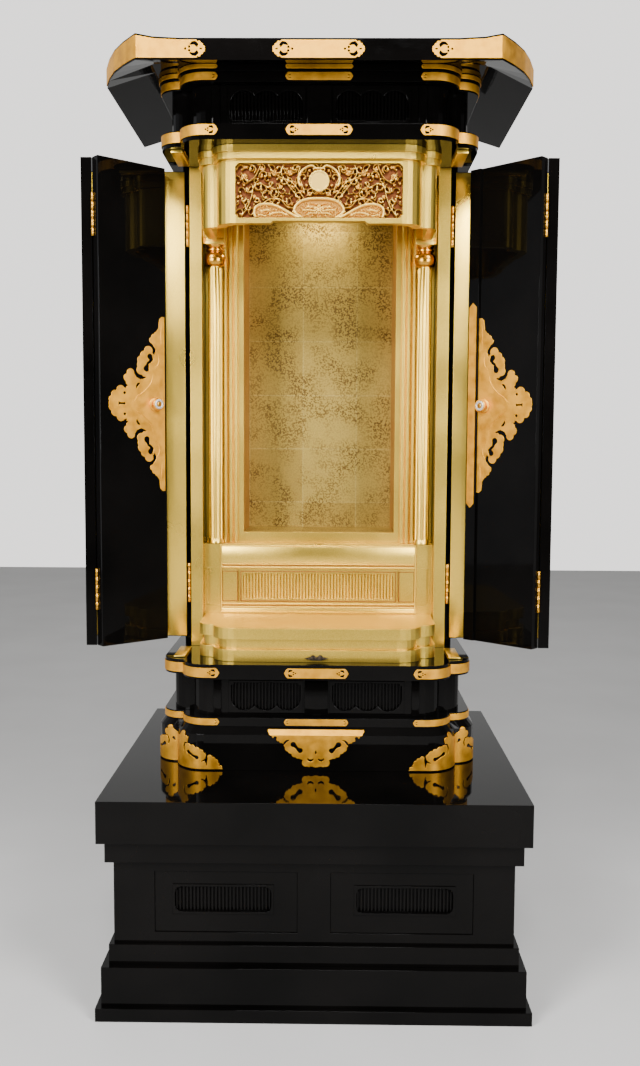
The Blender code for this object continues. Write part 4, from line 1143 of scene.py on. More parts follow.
@dataclass
class BaseFittings:
    """Pierced gilt fittings on the base block: one in front and one round each corner."""

    edge: LobedEdge = LobedEdge(0.245, 0.283, -0.129, 0.0505, 0.0425)
    low: float = 0.361
    shoulder: float = 0.4240
    corner_lift: float = 0.002

    def over(self, wrap: Wrap, bend: float) -> Wrap:
        """Bends a wrap back over the shoulder above a height."""

        def place(s: float, height: float, depth: float) -> Vector:
            """World place of a pattern point."""
            extra = max(0.0, height - bend)
            return wrap(s, min(height, bend) + 0.80 * extra, depth - 0.60 * extra)

        return place

    def hanging(self, points: Sequence[Point3], way: float) -> Stroke:
        """A stroke of the front fitting, from places in drawing units."""
        unit = 0.000194
        return Stroke(tuple((way * (482 - x) * unit, (415 - y) * unit, r * unit) for x, y, r in points))

    def centre_pattern(self) -> Pattern:
        """Plate that hangs from the shoulder and narrows to two curls."""
        solid: list[Shape] = []
        pierced: list[Shape] = []
        body = (
            (482, 68), (52, 68), (56, 92), (70, 118), (95, 138), (130, 158), (160, 176), (190, 196),
            (212, 215)
        )
        body += ((230, 270), (270, 300), (345, 335), (372, 370), (482, 395))
        lobes = [
            (66, 86, 15), (80, 112, 17), (104, 136, 15), (146, 166, 16), (170, 182, 15), (190, 192, 10),
            (222, 212, 28)
        ]
        lobes += [
            (232, 246, 27), (258, 266, 27), (290, 300, 25), (322, 312, 25), (348, 322, 20), (392, 376, 34),
            (418, 386, 27)
        ]
        lobes += [(448, 386, 24), (468, 402, 13), (482, 408, 9), (380, 352, 22)]
        for way in (-1, 1):
            corners = tuple(self.hanging([(x, y, 0)], way).points[0][:2] for x, y in body)
            solid.append(Field(corners))
            solid += [self.hanging([lobe], way) for lobe in lobes]
            pierced.append(self.hanging([(119, 150, 15)], way))
            pierced.append(self.hanging([(242, 170, 4), (222, 176, 8), (205, 192, 9), (197, 210, 5)], way))
            pierced.append(
                self.hanging(
                    [(281, 210, 25), (298, 224, 15), (314, 242, 12), (326, 254, 17), (341, 263, 24)], way
                )
            )
            pierced.append(
                self.hanging(
                    [(411, 338, 5), (420, 350, 9), (436, 354, 10), (452, 348, 8), (460, 340, 4)], way
                )
            )
            pierced.append(self.hanging([(358, 348, 3), (362, 354, 4)], way))
        pierced.append(self.hanging([(482, 262, 2), (482, 280, 8), (482, 298, 2)], 1))
        return Pattern(solid, pierced, 0.0005)

    def centre(self) -> None:
        """The front fitting, bent over the shoulder."""
        start = self.low + 0.0068
        bend = self.shoulder - start
        place = self.over(flat_wrap(self.edge.front, start), bend)
        sheet = Sheet(
            "base_fitting", self.centre_pattern(), place, folds=(bend - 0.0008, bend, bend + 0.0008)
        )
        piece = add_piece("gilt_base_fitting_centre", sheet.mesh(), GILT, Slot.GILT, smooth=25.0)
        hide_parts("base_fitting_centre")

    def corner_pattern(self) -> Pattern:
        """Plate that peaks beside the notch and steps down by scallops to both ends."""
        solid: list[Shape] = []
        pierced: list[Shape] = []
        lobes = [
            (0.0375, 0.0595, 0.0053), (0.0445, 0.0514, 0.0055), (0.0508, 0.0382, 0.0050),
            (0.0588, 0.0365, 0.0053)
        ]
        lobes += [
            (0.0670, 0.0332, 0.0053), (0.0740, 0.0297, 0.0050), (0.0780, 0.0243, 0.0053),
            (0.0775, 0.0183, 0.0053)
        ]
        lobes += [
            (0.0896, 0.0212, 0.0042), (0.0954, 0.0178, 0.0042), (0.1003, 0.0135, 0.0042),
            (0.1028, 0.0085, 0.0037)
        ]
        lobes += [(0.1085, 0.0036, 0.0030), (0.0455, 0.0440, 0.0035)]
        body = (
            (0.0835, 0.0), (0.0830, 0.010), (0.0780, 0.020), (0.070, 0.030), (0.052, 0.036), (0.046, 0.050),
            (0.038, 0.061), (0.030, 0.058)
        )
        end = (
            (0.082, 0.0), (0.1126, 0.0), (0.110, 0.003), (0.103, 0.009), (0.0954, 0.0185), (0.0896, 0.022),
            (0.0865, 0.020), (0.0845, 0.008)
        )
        holes = [
            [
                (0.0497, 0.0455, 0.0008), (0.0428, 0.0430, 0.0011), (0.0400, 0.0360, 0.0013),
                (0.0414, 0.0290, 0.0006)
            ],
            [
                (0.0850, 0.0250, 0.0007), (0.0846, 0.0200, 0.0015), (0.0808, 0.0156, 0.0014),
                (0.0750, 0.0132, 0.0005)
            ],
            [
                (0.0508, 0.0282, 0.0034), (0.0552, 0.0257, 0.0020), (0.0600, 0.0228, 0.0018),
                (0.0640, 0.0212, 0.0023), (0.0672, 0.0201, 0.0034)
            ],
        ]
        for way, shift in ((-1, 0.0), (1, 0.022)):
            near = ((0.0264, 0.054), (0.0, 0.0515)) if way < 0 else ((0.0318, 0.0575), (0.0220, 0.0515))
            foot = (0.0, 0.0) if way < 0 else (0.0220, 0.0)
            solid.append(Field(tuple((way * (s - shift), h) for s, h in (foot,) + body + near)))
            solid.append(Field(tuple((way * (s - shift), h) for s, h in end)))
            solid += [disc(way * (s - shift), h, r) for s, h, r in lobes]
            for hole in holes:
                pierced.append(Stroke(tuple((way * (s - shift), h, r) for s, h, r in hole)))
        pierced.append(Stroke(((0.0088, 0.0408, 0.0027), (0.0066, 0.0378, 0.0010))))
        return Pattern(solid, pierced, 0.0005)

    def corners(self) -> None:
        """The two corner fittings."""
        for side in Side:
            bends = bend_places(-0.112, 0.092, 0.0028) + (0.0,)
            start = self.low + self.corner_lift
            bend = self.shoulder - start
            wrap = self.over(self.edge.wrap(side, start), bend)
            sheet = Sheet("corner", self.corner_pattern(), wrap, bends=bends, folds=(bend,))
            piece = add_piece("gilt_base_fitting_" + side.label, sheet.mesh(), GILT, Slot.GILT, smooth=25.0)
            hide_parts("base_fitting_" + side.label)


@dataclass
class DoorPlates:
    """Pierced plates on the door leaves, drawn from the straight edge towards the hinge."""

    width: float = 0.116
    height: float = 0.318
    leaf: float = 0.137
    edge: float = 0.004
    thickness: float = 0.019
    hinge: Point = (0.3969, -0.0406)
    middle: float = 0.9975

    def unit(self, x: float, y: float, r: float = 0.0) -> Point3:
        """Turns drawing units into the plate's metres."""
        return ((425 - x) / 387 * self.width, (660 - y) / 615 * self.height / 2, r * 0.000279)

    def pattern(self) -> Pattern:
        """Upper and lower half of the plate with their holes."""
        solid: list[Shape] = []
        pierced: list[Shape] = []
        body = [
            (425, 660), (425, 45), (405, 48), (390, 62), (386, 92), (384, 126), (368, 150), (350, 172),
            (332, 192)
        ]
        body += [
            (322, 214), (342, 244), (362, 282), (352, 320), (300, 440), (252, 500), (200, 520), (160, 545)
        ]
        body += [(150, 600), (60, 620), (40, 660)]
        lobes = [
            (410, 58, 12), (366, 168, 14), (349, 188, 18), (338, 214, 21), (312, 288, 31), (283, 322, 30),
            (264, 356, 31)
        ]
        lobes += [
            (262, 388, 31), (258, 424, 31), (318, 340, 42), (300, 390, 46), (292, 438, 34), (188, 447, 27),
            (166, 482, 27)
        ]
        lobes += [
            (196, 484, 34), (178, 512, 24), (232, 515, 34), (120, 568, 30), (82, 600, 28), (64, 634, 26),
            (52, 656, 14)
        ]
        lobes += [(120, 610, 50), (98, 645, 52), (176, 580, 40)]
        for flip in (1, -1):
            solid.append(Field(tuple((self.unit(x, y)[0], flip * self.unit(x, y)[1]) for x, y in body)))
            solid += [self.mark([lobe], flip) for lobe in lobes]
            pierced.append(
                self.mark([(296, 245, 3), (320, 247, 7), (340, 258, 9), (354, 276, 8), (359, 292, 4)], flip)
            )
            pierced.append(
                self.mark([(218, 446, 5), (228, 462, 8), (246, 476, 9), (268, 479, 8), (290, 473, 3)], flip)
            )
            pierced.append(
                self.mark(
                    [
                        (322, 328, 19), (332, 346, 13), (322, 364, 9), (308, 374, 8), (304, 392, 12),
                        (297, 412, 21)
                    ],
                    flip
                )
            )
            pierced.append(self.mark([(250, 516, 3), (238, 524, 8), (230, 538, 7), (228, 550, 3)], flip))
            pierced.append(self.mark([(146, 587, 9)], flip))
            pierced.append(self.mark([(152, 556, 2), (156, 548, 4)], flip))
        pierced.append(self.mark([(110, 660, 5), (146, 660, 5)], 1))
        pierced.append(self.mark([(108, 652, 4), (108, 668, 4)], 1))
        pierced.append(self.mark([(146, 655, 4), (146, 665, 4)], 1))
        return Pattern(solid, pierced, 0.0008)

    def mark(self, points: list[Point3], flip: int) -> Stroke:
        """A stroke in drawing units, on the upper or lower half."""
        places = [self.unit(*point) for point in points]
        return Stroke(tuple((x, flip * y, r) for x, y, r in places))

    def leaf_place(self, side: Side, fold: float) -> tuple[Vector, Vector, Vector]:
        """Hinge, direction and outward normal of a leaf."""
        way = side.value
        along = Vector((-way * math.sin(fold), math.cos(fold), 0.0))
        outward = Vector((-way * math.cos(fold), -math.sin(fold), 0.0))
        return Vector((way * self.hinge[0], self.hinge[1], 0.0)), along, outward

    def build(self, side: Side, fold: float, edge: float) -> None:
        """Makes a leaf's plate, its raised arcs and its knob.

        Args:
            side: side of the altar.
            fold: angle between the leaf and its corner leaf.
            edge: place of the plate's straight edge along the leaf.
        """
        hinge, along, outward = self.leaf_place(side, fold)

        def place(a: float, z: float, depth: float) -> Vector:
            """Lays a pattern point on the leaf."""
            return hinge + along * (edge - a) + outward * (self.thickness + depth) + Vector(
                (0.0, 0.0, self.middle + z)
            )

        plate = Sheet("door_plate", self.pattern(), place, 0.0013)
        shapes = [plate.mesh()]
        arcs = [
            [(362, 284), (380, 312), (385, 345), (377, 380), (356, 408)],
            [(341, 448), (338, 482), (322, 522), (292, 560), (258, 590), (234, 606), (212, 640)],
            [(404, 100), (400, 180), (404, 240)],
        ]
        for arc_line in arcs:
            for flip in (1, -1):
                path = []
                for x, y in smoothed(arc_line):
                    a, z, _ = self.unit(x, y)
                    path.append(place(a, flip * z, 0.00140))
                radii = [
                    0.0002 + 0.0007 * math.sin(math.pi * (i + 0.5) / len(path)) for i in range(len(path))
                ]
                shapes.append(tube(path, radii, 6))
        piece = add_piece(
            "gilt_door_plate_" + side.label, join(shapes), GILT, Slot.GILT, "leaf_" + side.label, 25.0
        )
        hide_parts("door_plate_" + side.label)
        centre = hinge + along * (self.leaf - 0.024) + Vector((0.0, 0.0, self.middle))
        self.knob(side, centre, outward)

    def knob(self, side: Side, centre: Vector, outward: Vector) -> None:
        """Turned knob with a gilt skirt, a pale ring and a bronze eye.

        Args:
            side: side of the altar.
            centre: its place on the leaf.
            outward: direction that it stands out in.
        """
        body = "leaf_" + side.label
        start = self.thickness + 0.0019
        skirt = [
            (0.0128, 0.0), (0.0134, 0.0012), (0.0126, 0.0022), (0.0070, 0.0028), (0.0062, 0.0046),
            (0.0100, 0.0070)
        ]
        skirt += [
            (0.0114, 0.0090), (0.0115, 0.0108), (0.0110, 0.0120), (0.0098, 0.0127), (0.0094, 0.0122),
            (0.0093, 0.0110)
        ]
        piece = add_piece(
            "knob_skirt_" + side.label, lathe(skirt, centre, outward, 36, start), GILT, Slot.GILT, body, 50.0
        )
        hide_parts("door_knob_" + side.label)
        ring = [
            (0.0091, 0.0100), (0.0091, 0.0126), (0.0084, 0.0134), (0.0062, 0.0136), (0.0050, 0.0128),
            (0.0048, 0.0116)
        ]
        add_piece(
            "knob_face_" + side.label, lathe(ring, centre, outward, 36, start), PEARL, Slot.GILT, body, 50.0
        )
        eye = [(0.0046, 0.0105), (0.0046, 0.0122), (0.0040, 0.0132), (0.0020, 0.0136)]
        add_piece(
            "knob_eye_" + side.label, lathe(eye, centre, outward, 28, start), BRONZE, Slot.GILT, body, 50.0
        )


def smoothed(points: Sequence[Point], steps: int = 4) -> list[Point]:
    """A smooth line through points."""
    result: list[Point] = []
    count = len(points)
    for index in range(count - 1):
        p0, p1, p2, p3 = (points[max(0, min(count - 1, index + k))] for k in (-1, 0, 1, 2))
        for step in range(steps):
            t = step / steps
            weights = (
                -0.5 * t + t * t - 0.5 * t**3, 1 - 2.5 * t * t + 1.5 * t**3, 0.5 * t + 2 * t * t - 1.5 * t**3,
                -0.5 * t * t + 0.5 * t**3
            )
            result.append(tuple(sum(w * p[k] for w, p in zip(weights, (p0, p1, p2, p3))) for k in (0, 1)))
    result.append(points[-1])
    return result


def lathe(
    profile: Sequence[Point], centre: Vector, axis: Vector, sides: int = 32, start: float = 0.0
) -> Solid:
    """A turned shape about an axis.

    Args:
        profile: radius and height of each ring.
        centre: foot of the axis.
        axis: direction of the axis.
        sides: faces around it.
        start: height that is added to every ring.

    Returns:
        The turned shape, closed at both ends.
    """
    shape = bmesh.new()
    across = axis.cross(Vector((0.0, 0.0, 1.0)))
    across = across.normalized() if across.length > 0.01 else Vector((1.0, 0.0, 0.0))
    over = axis.cross(across).normalized()
    rings = []
    for radius, height in profile:
        ring = []
        for step in range(sides):
            angle = 2 * math.pi * step / sides
            ring.append(
                shape.verts.new(
                    centre + axis * (height + start) + (
                        across * math.cos(angle) + over * math.sin(angle)
                    ) * radius
                )
            )
        rings.append(ring)
    return skinned(shape, rings)


@dataclass
class Carving:
    """Pierced vine carving in the lintel's window, with its disc, flower and cartouches."""

    half: float = 0.1420
    low: float = 1.3105
    height: float = 0.0900
    face: float = -0.0860
    depth: float = 0.0105
    pitch: float = 0.0007
    drawing_middle: float = 722.0
    drawing_foot: float = 485.0
    drawing_height: float = 450.0

    @property
    def unit(self) -> float:
        """Metres for one unit of the drawing."""
        return self.height / self.drawing_height

    def spot(self, x: float, y: float) -> Point:
        """Place of a point of the drawing in the window."""
        return (x - self.drawing_middle) * self.unit, (self.drawing_foot - y) * self.unit

    def scroll(
        self, x: float, y: float, radius: float, start: float, hand: int, width: float = 0.0015
    ) -> Stroke:
        """A vine that winds in to a small ball.

        Args:
            x: centre of the scroll.
            y: height of the centre.
            radius: outer radius.
            start: angle at which it begins, in degrees.
            hand: 1 to wind to the left, -1 to the right.
            width: half the vine's thickness.

        Returns:
            The stroke.
        """
        points = []
        for step in range(22):
            share = step / 21
            angle = math.radians(start) + hand * share * 4.4
            reach = radius * (1 - 0.74 * share)
            size = width * (0.8 + 0.2 * share) + (0.0009 if step == 21 else 0.0)
            points.append((x + reach * math.cos(angle), y + reach * math.sin(angle), size))
        return Stroke(tuple(points))

    def curls(self) -> tuple[list[Stroke], list[Stroke]]:
        """A thick growth of small curls and leaves that fills the window.

        Returns:
            The curls and the leaves of the right half.
        """
        chance = np.random.default_rng(11)
        curls: list[Stroke] = []
        leaves: list[Stroke] = []
        for row in range(5):
            for column in range(8):
                x = 0.0080 + 0.0178 * column + (0.0085 if row % 2 else 0.0) + float(
                    chance.uniform(-0.0014, 0.0014)
                )
                y = 0.0085 + 0.0182 * row + float(chance.uniform(-0.0014, 0.0014))
                radius = float(chance.uniform(0.0072, 0.0086))
                hand = 1 if chance.random() < 0.5 else -1
                start = float(chance.uniform(0.0, 360.0))
                curls.append(self.scroll(x, y, radius, start, hand, float(chance.uniform(0.0008, 0.0010))))
                tail = math.radians(start + hand * 20)
                reach = radius * 1.9
                end = (x + reach * math.cos(tail), y + reach * math.sin(tail), 0.0006)
                curls.append(
                    Stroke(
                        (
                            (
                                x + radius * math.cos(math.radians(start)),
                                y + radius * math.sin(math.radians(start)), 0.0009
                            ),
                            end
                        )
                    )
                )
                leaves += self.leaf(
                    x + radius * math.cos(start), y + radius * math.sin(start),
                    float(chance.uniform(0.0, 360.0)), 0.0062
                )
        return curls, leaves

    def leaf(self, x: float, y: float, turn: float, size: float) -> list[Stroke]:
        """A three-lobed leaf with a stem."""
        a = math.radians(turn)
        shapes = []
        for off, length, width in ((0.0, 1.0, 0.26), (0.75, 0.72, 0.2), (-0.75, 0.72, 0.2)):
            tip = (x + math.cos(a + off) * size * length, y + math.sin(a + off) * size * length)
            mid = ((x + tip[0]) / 2, (y + tip[1]) / 2)
            shapes.append(Stroke(((x, y, 0.0008), (mid[0], mid[1], width * size), (tip[0], tip[1], 0.0004))))
        return shapes

    def vines(self) -> tuple[list[Stroke], list[Stroke]]:
        """Thin vines and broad leaves of the whole window.

        Returns:
            The vines and the leaves.
        """
        unit = self.unit
        scrolls = [
            (125, 400, 40, 100, 1), (120, 245, 48, 60, -1), (150, 75, 40, -60, 1), (255, 130, 46, 200, -1),
            (270, 300, 52, 20, 1), (215, 225, 50, 100, 1), (355, 280, 46, 180, 1), (420, 175, 50, 60, -1),
            (375, 75, 38, 250, 1), (500, 215, 42, 140, -1), (520, 75, 36, 30, 1), (590, 150, 40, 210, -1),
            (650, 275, 34, 80, 1), (540, 300, 36, 0, 1), (440, 330, 34, 120, 1), (75, 155, 34, -30, 1),
            (320, 200, 34, 300, -1), (455, 100, 30, 120, 1), (75, 330, 30, 40, -1), (195, 330, 30, 220, 1),
        ]
        vines = []
        leaves = []
        for side in (-1, 1):
            for x, y, radius, start, hand in scrolls:
                stroke = self.scroll(*self.spot(x, y), radius * unit, start, hand, 0.0011)
                vines.append(stroke.mirrored(-side, 1.0))
            stems = [
                [(60, 470), (110, 400), (150, 300), (165, 230), (220, 195), (290, 230), (330, 190)],
                [(600, 330), (545, 250), (480, 180), (400, 150), (330, 100), (290, 45)],
                [(60, 110), (110, 180), (170, 150), (215, 70), (220, 40)],
                [(420, 45), (400, 110), (440, 180), (500, 260), (560, 330)],
                [(230, 380), (300, 330), (390, 330), (450, 390), (500, 400)],
                [(560, 60), (545, 130), (575, 200), (600, 280)],
            ]
            for stem in stems:
                path = tuple((*self.spot(x, y), 0.0010) for x, y in smoothed(stem))
                vines.append(Stroke(path).mirrored(-side, 1.0))
            for x, y, turn, size in (
                (110, 130, 200, 60), (330, 130, 60, 60), (175, 290, 250, 45), (470, 130, 80, 58),
                (300, 260, 300, 45), (400, 240, 120, 52), (95, 70, 140, 42), (240, 90, 100, 48),
                (570, 250, 250, 40), (380, 370, 200, 34), (480, 370, 30, 34)
            ):
                for stroke in self.leaf(*self.spot(x, y), turn, size * unit):
                    leaves.append(stroke.mirrored(-side, 1.0))
        return vines, leaves

    def cartouches(self) -> tuple[list[Stroke], list[Field], list[Stroke]]:
        """Rims, grounds and inner forms of the cartouches and the arch over the disc."""
        unit = self.unit

        def at(points: Sequence[Point], width: float) -> Stroke:
            """Stroke through drawing points."""
            return Stroke(tuple((*self.spot(x, y), width) for x, y in smoothed(points)))

        rims = [
            at(
                [
                    (590, 490), (520, 440), (515, 400), (560, 350), (640, 325), (722, 322), (804, 325),
                    (884, 350), (929, 400), (924, 440), (854, 490)
                ],
                0.0026
            )
        ]
        grounds = [
            Field(
                tuple(
                    self.spot(x, y)
                    for x, y in (
                        (540, 480), (520, 410), (570, 350), (722, 322), (874, 350), (924, 410), (904, 480)
                    )
                )
            )
        ]
        petals = []
        for side in (-1, 1):
            curve = [
                (180, 475), (170, 440), (180, 400), (220, 375), (290, 370), (360, 385), (440, 425),
                (520, 470), (580, 500)
            ]
            rims.append(at(curve, 0.0026).mirrored(-side, 1.0))
            corners = tuple((-side * self.spot(x, y)[0], self.spot(x, y)[1]) for x, y in curve + [(300, 500)])
            grounds.append(Field(corners))
            arch = [(560, 215), (545, 160), (570, 100), (620, 60), (665, 50), (690, 70), (722, 72)]
            rims.append(
                Stroke(tuple((px, py, 0.0022) for px, py, _ in at(arch, 0.002).mirrored(-side, 1.0).points))
            )
            for x0, y0, x1, y1, width in (
                (620, 395, 700, 400, 0.0016), (585, 420, 680, 425, 0.0018), (620, 455, 700, 445, 0.0016),
                (230, 430, 300, 420, 0.002), (300, 460, 370, 440, 0.002), (380, 440, 440, 455, 0.0016),
                (210, 460, 260, 470, 0.0016)
            ):
                petals.append(
                    at([(x0, y0), ((x0 + x1) / 2, (y0 + y1) / 2 - 6), (x1, y1)], width).mirrored(-side, 1.0)
                )
        chance = np.random.default_rng(5)
        for x, y in [(x, y) for x in range(200, 720, 27) for y in range(345, 485, 24)]:
            spot_x, spot_y = x + float(chance.uniform(-6, 6)), y + float(chance.uniform(-6, 6))
            turn = float(chance.uniform(0.0, math.pi))
            dx, dy = 11 * math.cos(turn), 11 * math.sin(turn)
            places = (
                ((spot_x - dx - 722) * unit, (485 - spot_y + dy) * unit),
                ((spot_x + dx - 722) * unit, (485 - spot_y - dy) * unit)
            )
            if any(
                float(g.distance(np.array([places[0][0]]), np.array([places[0][1]]))[0]) < -0.0022
                for g in grounds
            ):
                for way in (-1.0, 1.0):
                    petals.append(Stroke(tuple((way * px, pz, 0.0011) for px, pz in places)))
        for step in range(8):
            a = math.pi / 4 * step
            petals.append(
                at(
                    [
                        (748 + 6 * math.cos(a) - 26, 415 - 6 * math.sin(a)),
                        (748 + 34 * math.cos(a) - 26, 415 - 34 * math.sin(a))
                    ],
                    0.0013
                )
            )
        return rims, grounds, petals

    def relief(self) -> tuple[np.ndarray, np.ndarray, np.ndarray]:
        """Depth of the carving over its window.

        Returns:
            The x places, the heights and the y place of each grid point.
        """
        xs = np.linspace(-self.half, self.half, int(2 * self.half / self.pitch))
        zs = np.linspace(0.0, self.height, int(self.height / self.pitch))
        gx, gz = np.meshgrid(xs, zs, indexing="ij")
        vines, leaves = self.vines()
        curls, small = self.curls()
        for way in (-1.0, 1.0):
            vines += [stroke.mirrored(way, 1.0) for stroke in curls]
            leaves += [stroke.mirrored(way, 1.0) for stroke in small]
        rims, grounds, petals = self.cartouches()
        level = np.zeros(gx.shape)

        def raise_to(shapes: Sequence[Shape], crest: float, width: float) -> None:
            """Rounds the strokes up to a crest, higher at their middles."""
            nonlocal level
            for shape in shapes:
                inside = np.clip(-shape.distance(gx, gz) / width, 0.0, 1.0)
                level = np.maximum(
                    level, np.where(inside > 0, crest * (0.45 + 0.55 * np.sqrt(inside * (2 - inside))), 0.0)
                )

        raise_to(leaves, 0.60, 0.0016)
        raise_to(vines, 0.95, 0.0009)
        for ground in grounds:
            level = np.where(ground.distance(gx, gz) < 0.0, 0.46, level)
        raise_to(petals, 0.86, 0.0014)
        raise_to(rims, 1.05, 0.0024)
        unit = self.unit
        spot = np.hypot(gx, gz - self.spot(0.0, 178.0)[1])
        radius = 82 * unit
        level = np.where(spot < radius, 0.84, level)
        level = np.where(np.abs(spot - radius) < 0.0013, 1.05, level)
        edge = np.minimum(np.minimum(self.half - np.abs(gx), gz), self.height - gz)
        level = np.where(edge < 0.0005, 0.0, level)
        return xs, zs, self.face + self.depth * (1.0 - level)

    def build(self) -> None:
        """Makes the carving as one closed relief."""
        xs, zs, depth = self.relief()
        shape = bmesh.new()
        rows = []
        for i, x in enumerate(xs):
            rows.append([shape.verts.new((x, depth[i, j], self.low + z)) for j, z in enumerate(zs)])
        for first, second in zip(rows, rows[1:]):
            for j in range(len(zs) - 1):
                shape.faces.new((first[j], second[j], second[j + 1], first[j + 1]))
        rim = [row[0] for row in rows] + rows[-1][1:] + [
            row[-1] for row in reversed(rows[:-1])
        ] + list(reversed(rows[0][1:-1]))
        deep = self.face + self.depth + 0.002
        back = [shape.verts.new((vert.co.x, deep, vert.co.z)) for vert in rim]
        for index in range(len(rim)):
            after = (index + 1) % len(rim)
            shape.faces.new((rim[after], rim[index], back[index], back[after]))
        shape.faces.new(back)
        piece = add_piece("vine_carving", shape, CARVED, Slot.GOLD, smooth=75.0)
        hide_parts("lintel_carving")


@dataclass
class SlatWindows:
    """Rounded slats in the windows of the stand, waist, neck and dais."""

    share: float = 0.40

    def row(
        self, name: str, centre: float, width: float, low: float, height: float, face: float, count: int,
        lobe: float, up: bool, finish: Finish, slot: Slot
    ) -> None:
        """Fills one window.

        Args:
            name: name of the piece.
            centre: middle of the window in x.
            width: width of the window.
            low: height of its sill.
            height: its height.
            face: y of the face that it is sunk in.
            count: number of slats.
            lobe: step of its cusped corners, or 0 where the corners are plain.
            up: whether the cusped corners are the upper ones.
            finish: finish of the slats.
            slot: record slot of the slats.
        """
        pitch = width / count
        shapes = []
        cut = {0: 2 * lobe, 1: lobe}
        for start, number in ((0, 1), (1, 1), (2, count - 4), (count - 2, 1), (count - 1, 1)):
            drop = cut.get(start if start < 2 else count - 1 - start, 0.0) if number == 1 else 0.0
            tall = height - drop - 0.001
            middle = low + (tall / 2 if up else height - tall / 2)
            place = Vector((centre - width / 2 + pitch * (start + 0.43), face + 0.0049, middle))
            bars = RowOfBars(name, number, pitch, pitch * self.share, tall, place)
            shapes.append(bars.mesh(finish))
        add_piece(name, join(shapes), finish, slot, smooth=60.0)

    def build(self) -> None:
        """Fills all the windows."""
        for side in Side:
            way = side.value
            self.row(
                "waist_slats_" + side.label, way * 0.0885, 0.1235, 0.46025, 0.050, -0.102, 21, 0.0042, False,
                LACQUER, Slot.LACQUER
            )
            self.row(
                "neck_slats_" + side.label, way * 0.0885, 0.1235, 1.46525, 0.050, -0.102, 21, 0.0042, True,
                LACQUER, Slot.LACQUER
            )
            self.row(
                "stand_slats_" + side.label, way * 0.1465, 0.157, 0.17155, 0.043, -0.271, 27, 0.0035, True,
                LACQUER, Slot.LACQUER
            )
        self.row("dais_slats", 0.0, 0.286, 0.6322, 0.0478, 0.077, 48, 0.0, True, GOLD, Slot.GOLD)


@dataclass
class Columns:
    """Reeded columns with turned capitals, which stand for the plain ones."""

    x: float = 0.1960
    y: float = 0.0890
    radius: float = 0.0140
    low: float = 0.7375
    capital: float = 1.2560
    high: float = 1.2952
    reeds: int = 9

    def shaft(self, side: Side) -> Solid:
        """Shaft of broad convex reeds."""
        sides = self.reeds * 12
        shape = bmesh.new()
        rings = []
        for height, share, reed in (
            (self.low, 1.04, 0.0), (self.low + 0.006, 1.04, 0.0), (self.low + 0.008, 0.94, 0.0),
            (self.low + 0.010, 1.0, 1.0),
            (self.capital - 0.004, 1.0, 1.0), (self.capital - 0.002, 0.90, 0.0), (self.capital, 0.90, 0.0),
        ):
            ring = []
            for step in range(sides):
                angle = 2 * math.pi * step / sides + math.pi / 2
                bump = 1 - reed * 0.20 * (1 - abs(math.sin(self.reeds / 2 * (angle - math.pi / 2))) ** 0.55)
                reach = self.radius * share * bump
                ring.append(
                    shape.verts.new(
                        (
                            side.value * self.x + reach * math.cos(angle), self.y + reach * math.sin(angle),
                            height
                        )
                    )
                )
            rings.append(ring)
        return skinned(shape, rings)

    def build(self) -> None:
        """Makes both columns with their capitals."""
        profile = [
            (0.90, 0.0), (1.10, 0.02), (1.26, 0.06), (1.40, 0.16), (1.47, 0.28), (1.47, 0.40), (1.40, 0.52),
            (1.24, 0.60)
        ]
        profile += [
            (1.08, 0.64), (1.02, 0.67), (1.10, 0.70), (1.22, 0.74), (1.24, 0.80), (1.14, 0.84), (1.02, 0.87)
        ]
        profile += [(1.08, 0.90), (1.22, 0.96), (1.26, 1.0)]
        tall = self.high - self.capital
        for side in Side:
            piece = add_piece("reeded_column_" + side.label, self.shaft(side), GOLD, Slot.GOLD, smooth=50.0)
            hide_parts("column_" + side.label)
            foot = Vector((side.value * self.x, self.y, self.capital))
            xs = sorted((side.value * 0.1777, side.value * 0.2160))
            add_piece(
                "block_neck_" + side.label,
                block(Vector((xs[0], 0.0700, 1.2952)), Vector((xs[1], 0.1050, 1.3068))), GOLD, Slot.GOLD
            )
            rings = [(self.radius * share, tall * rise) for share, rise in profile]
            add_piece(
                "column_capital_" + side.label, lathe(rings, foot, Vector((0.0, 0.0, 1.0)), 40), BRONZE,
                Slot.GOLD, smooth=40.0
            )


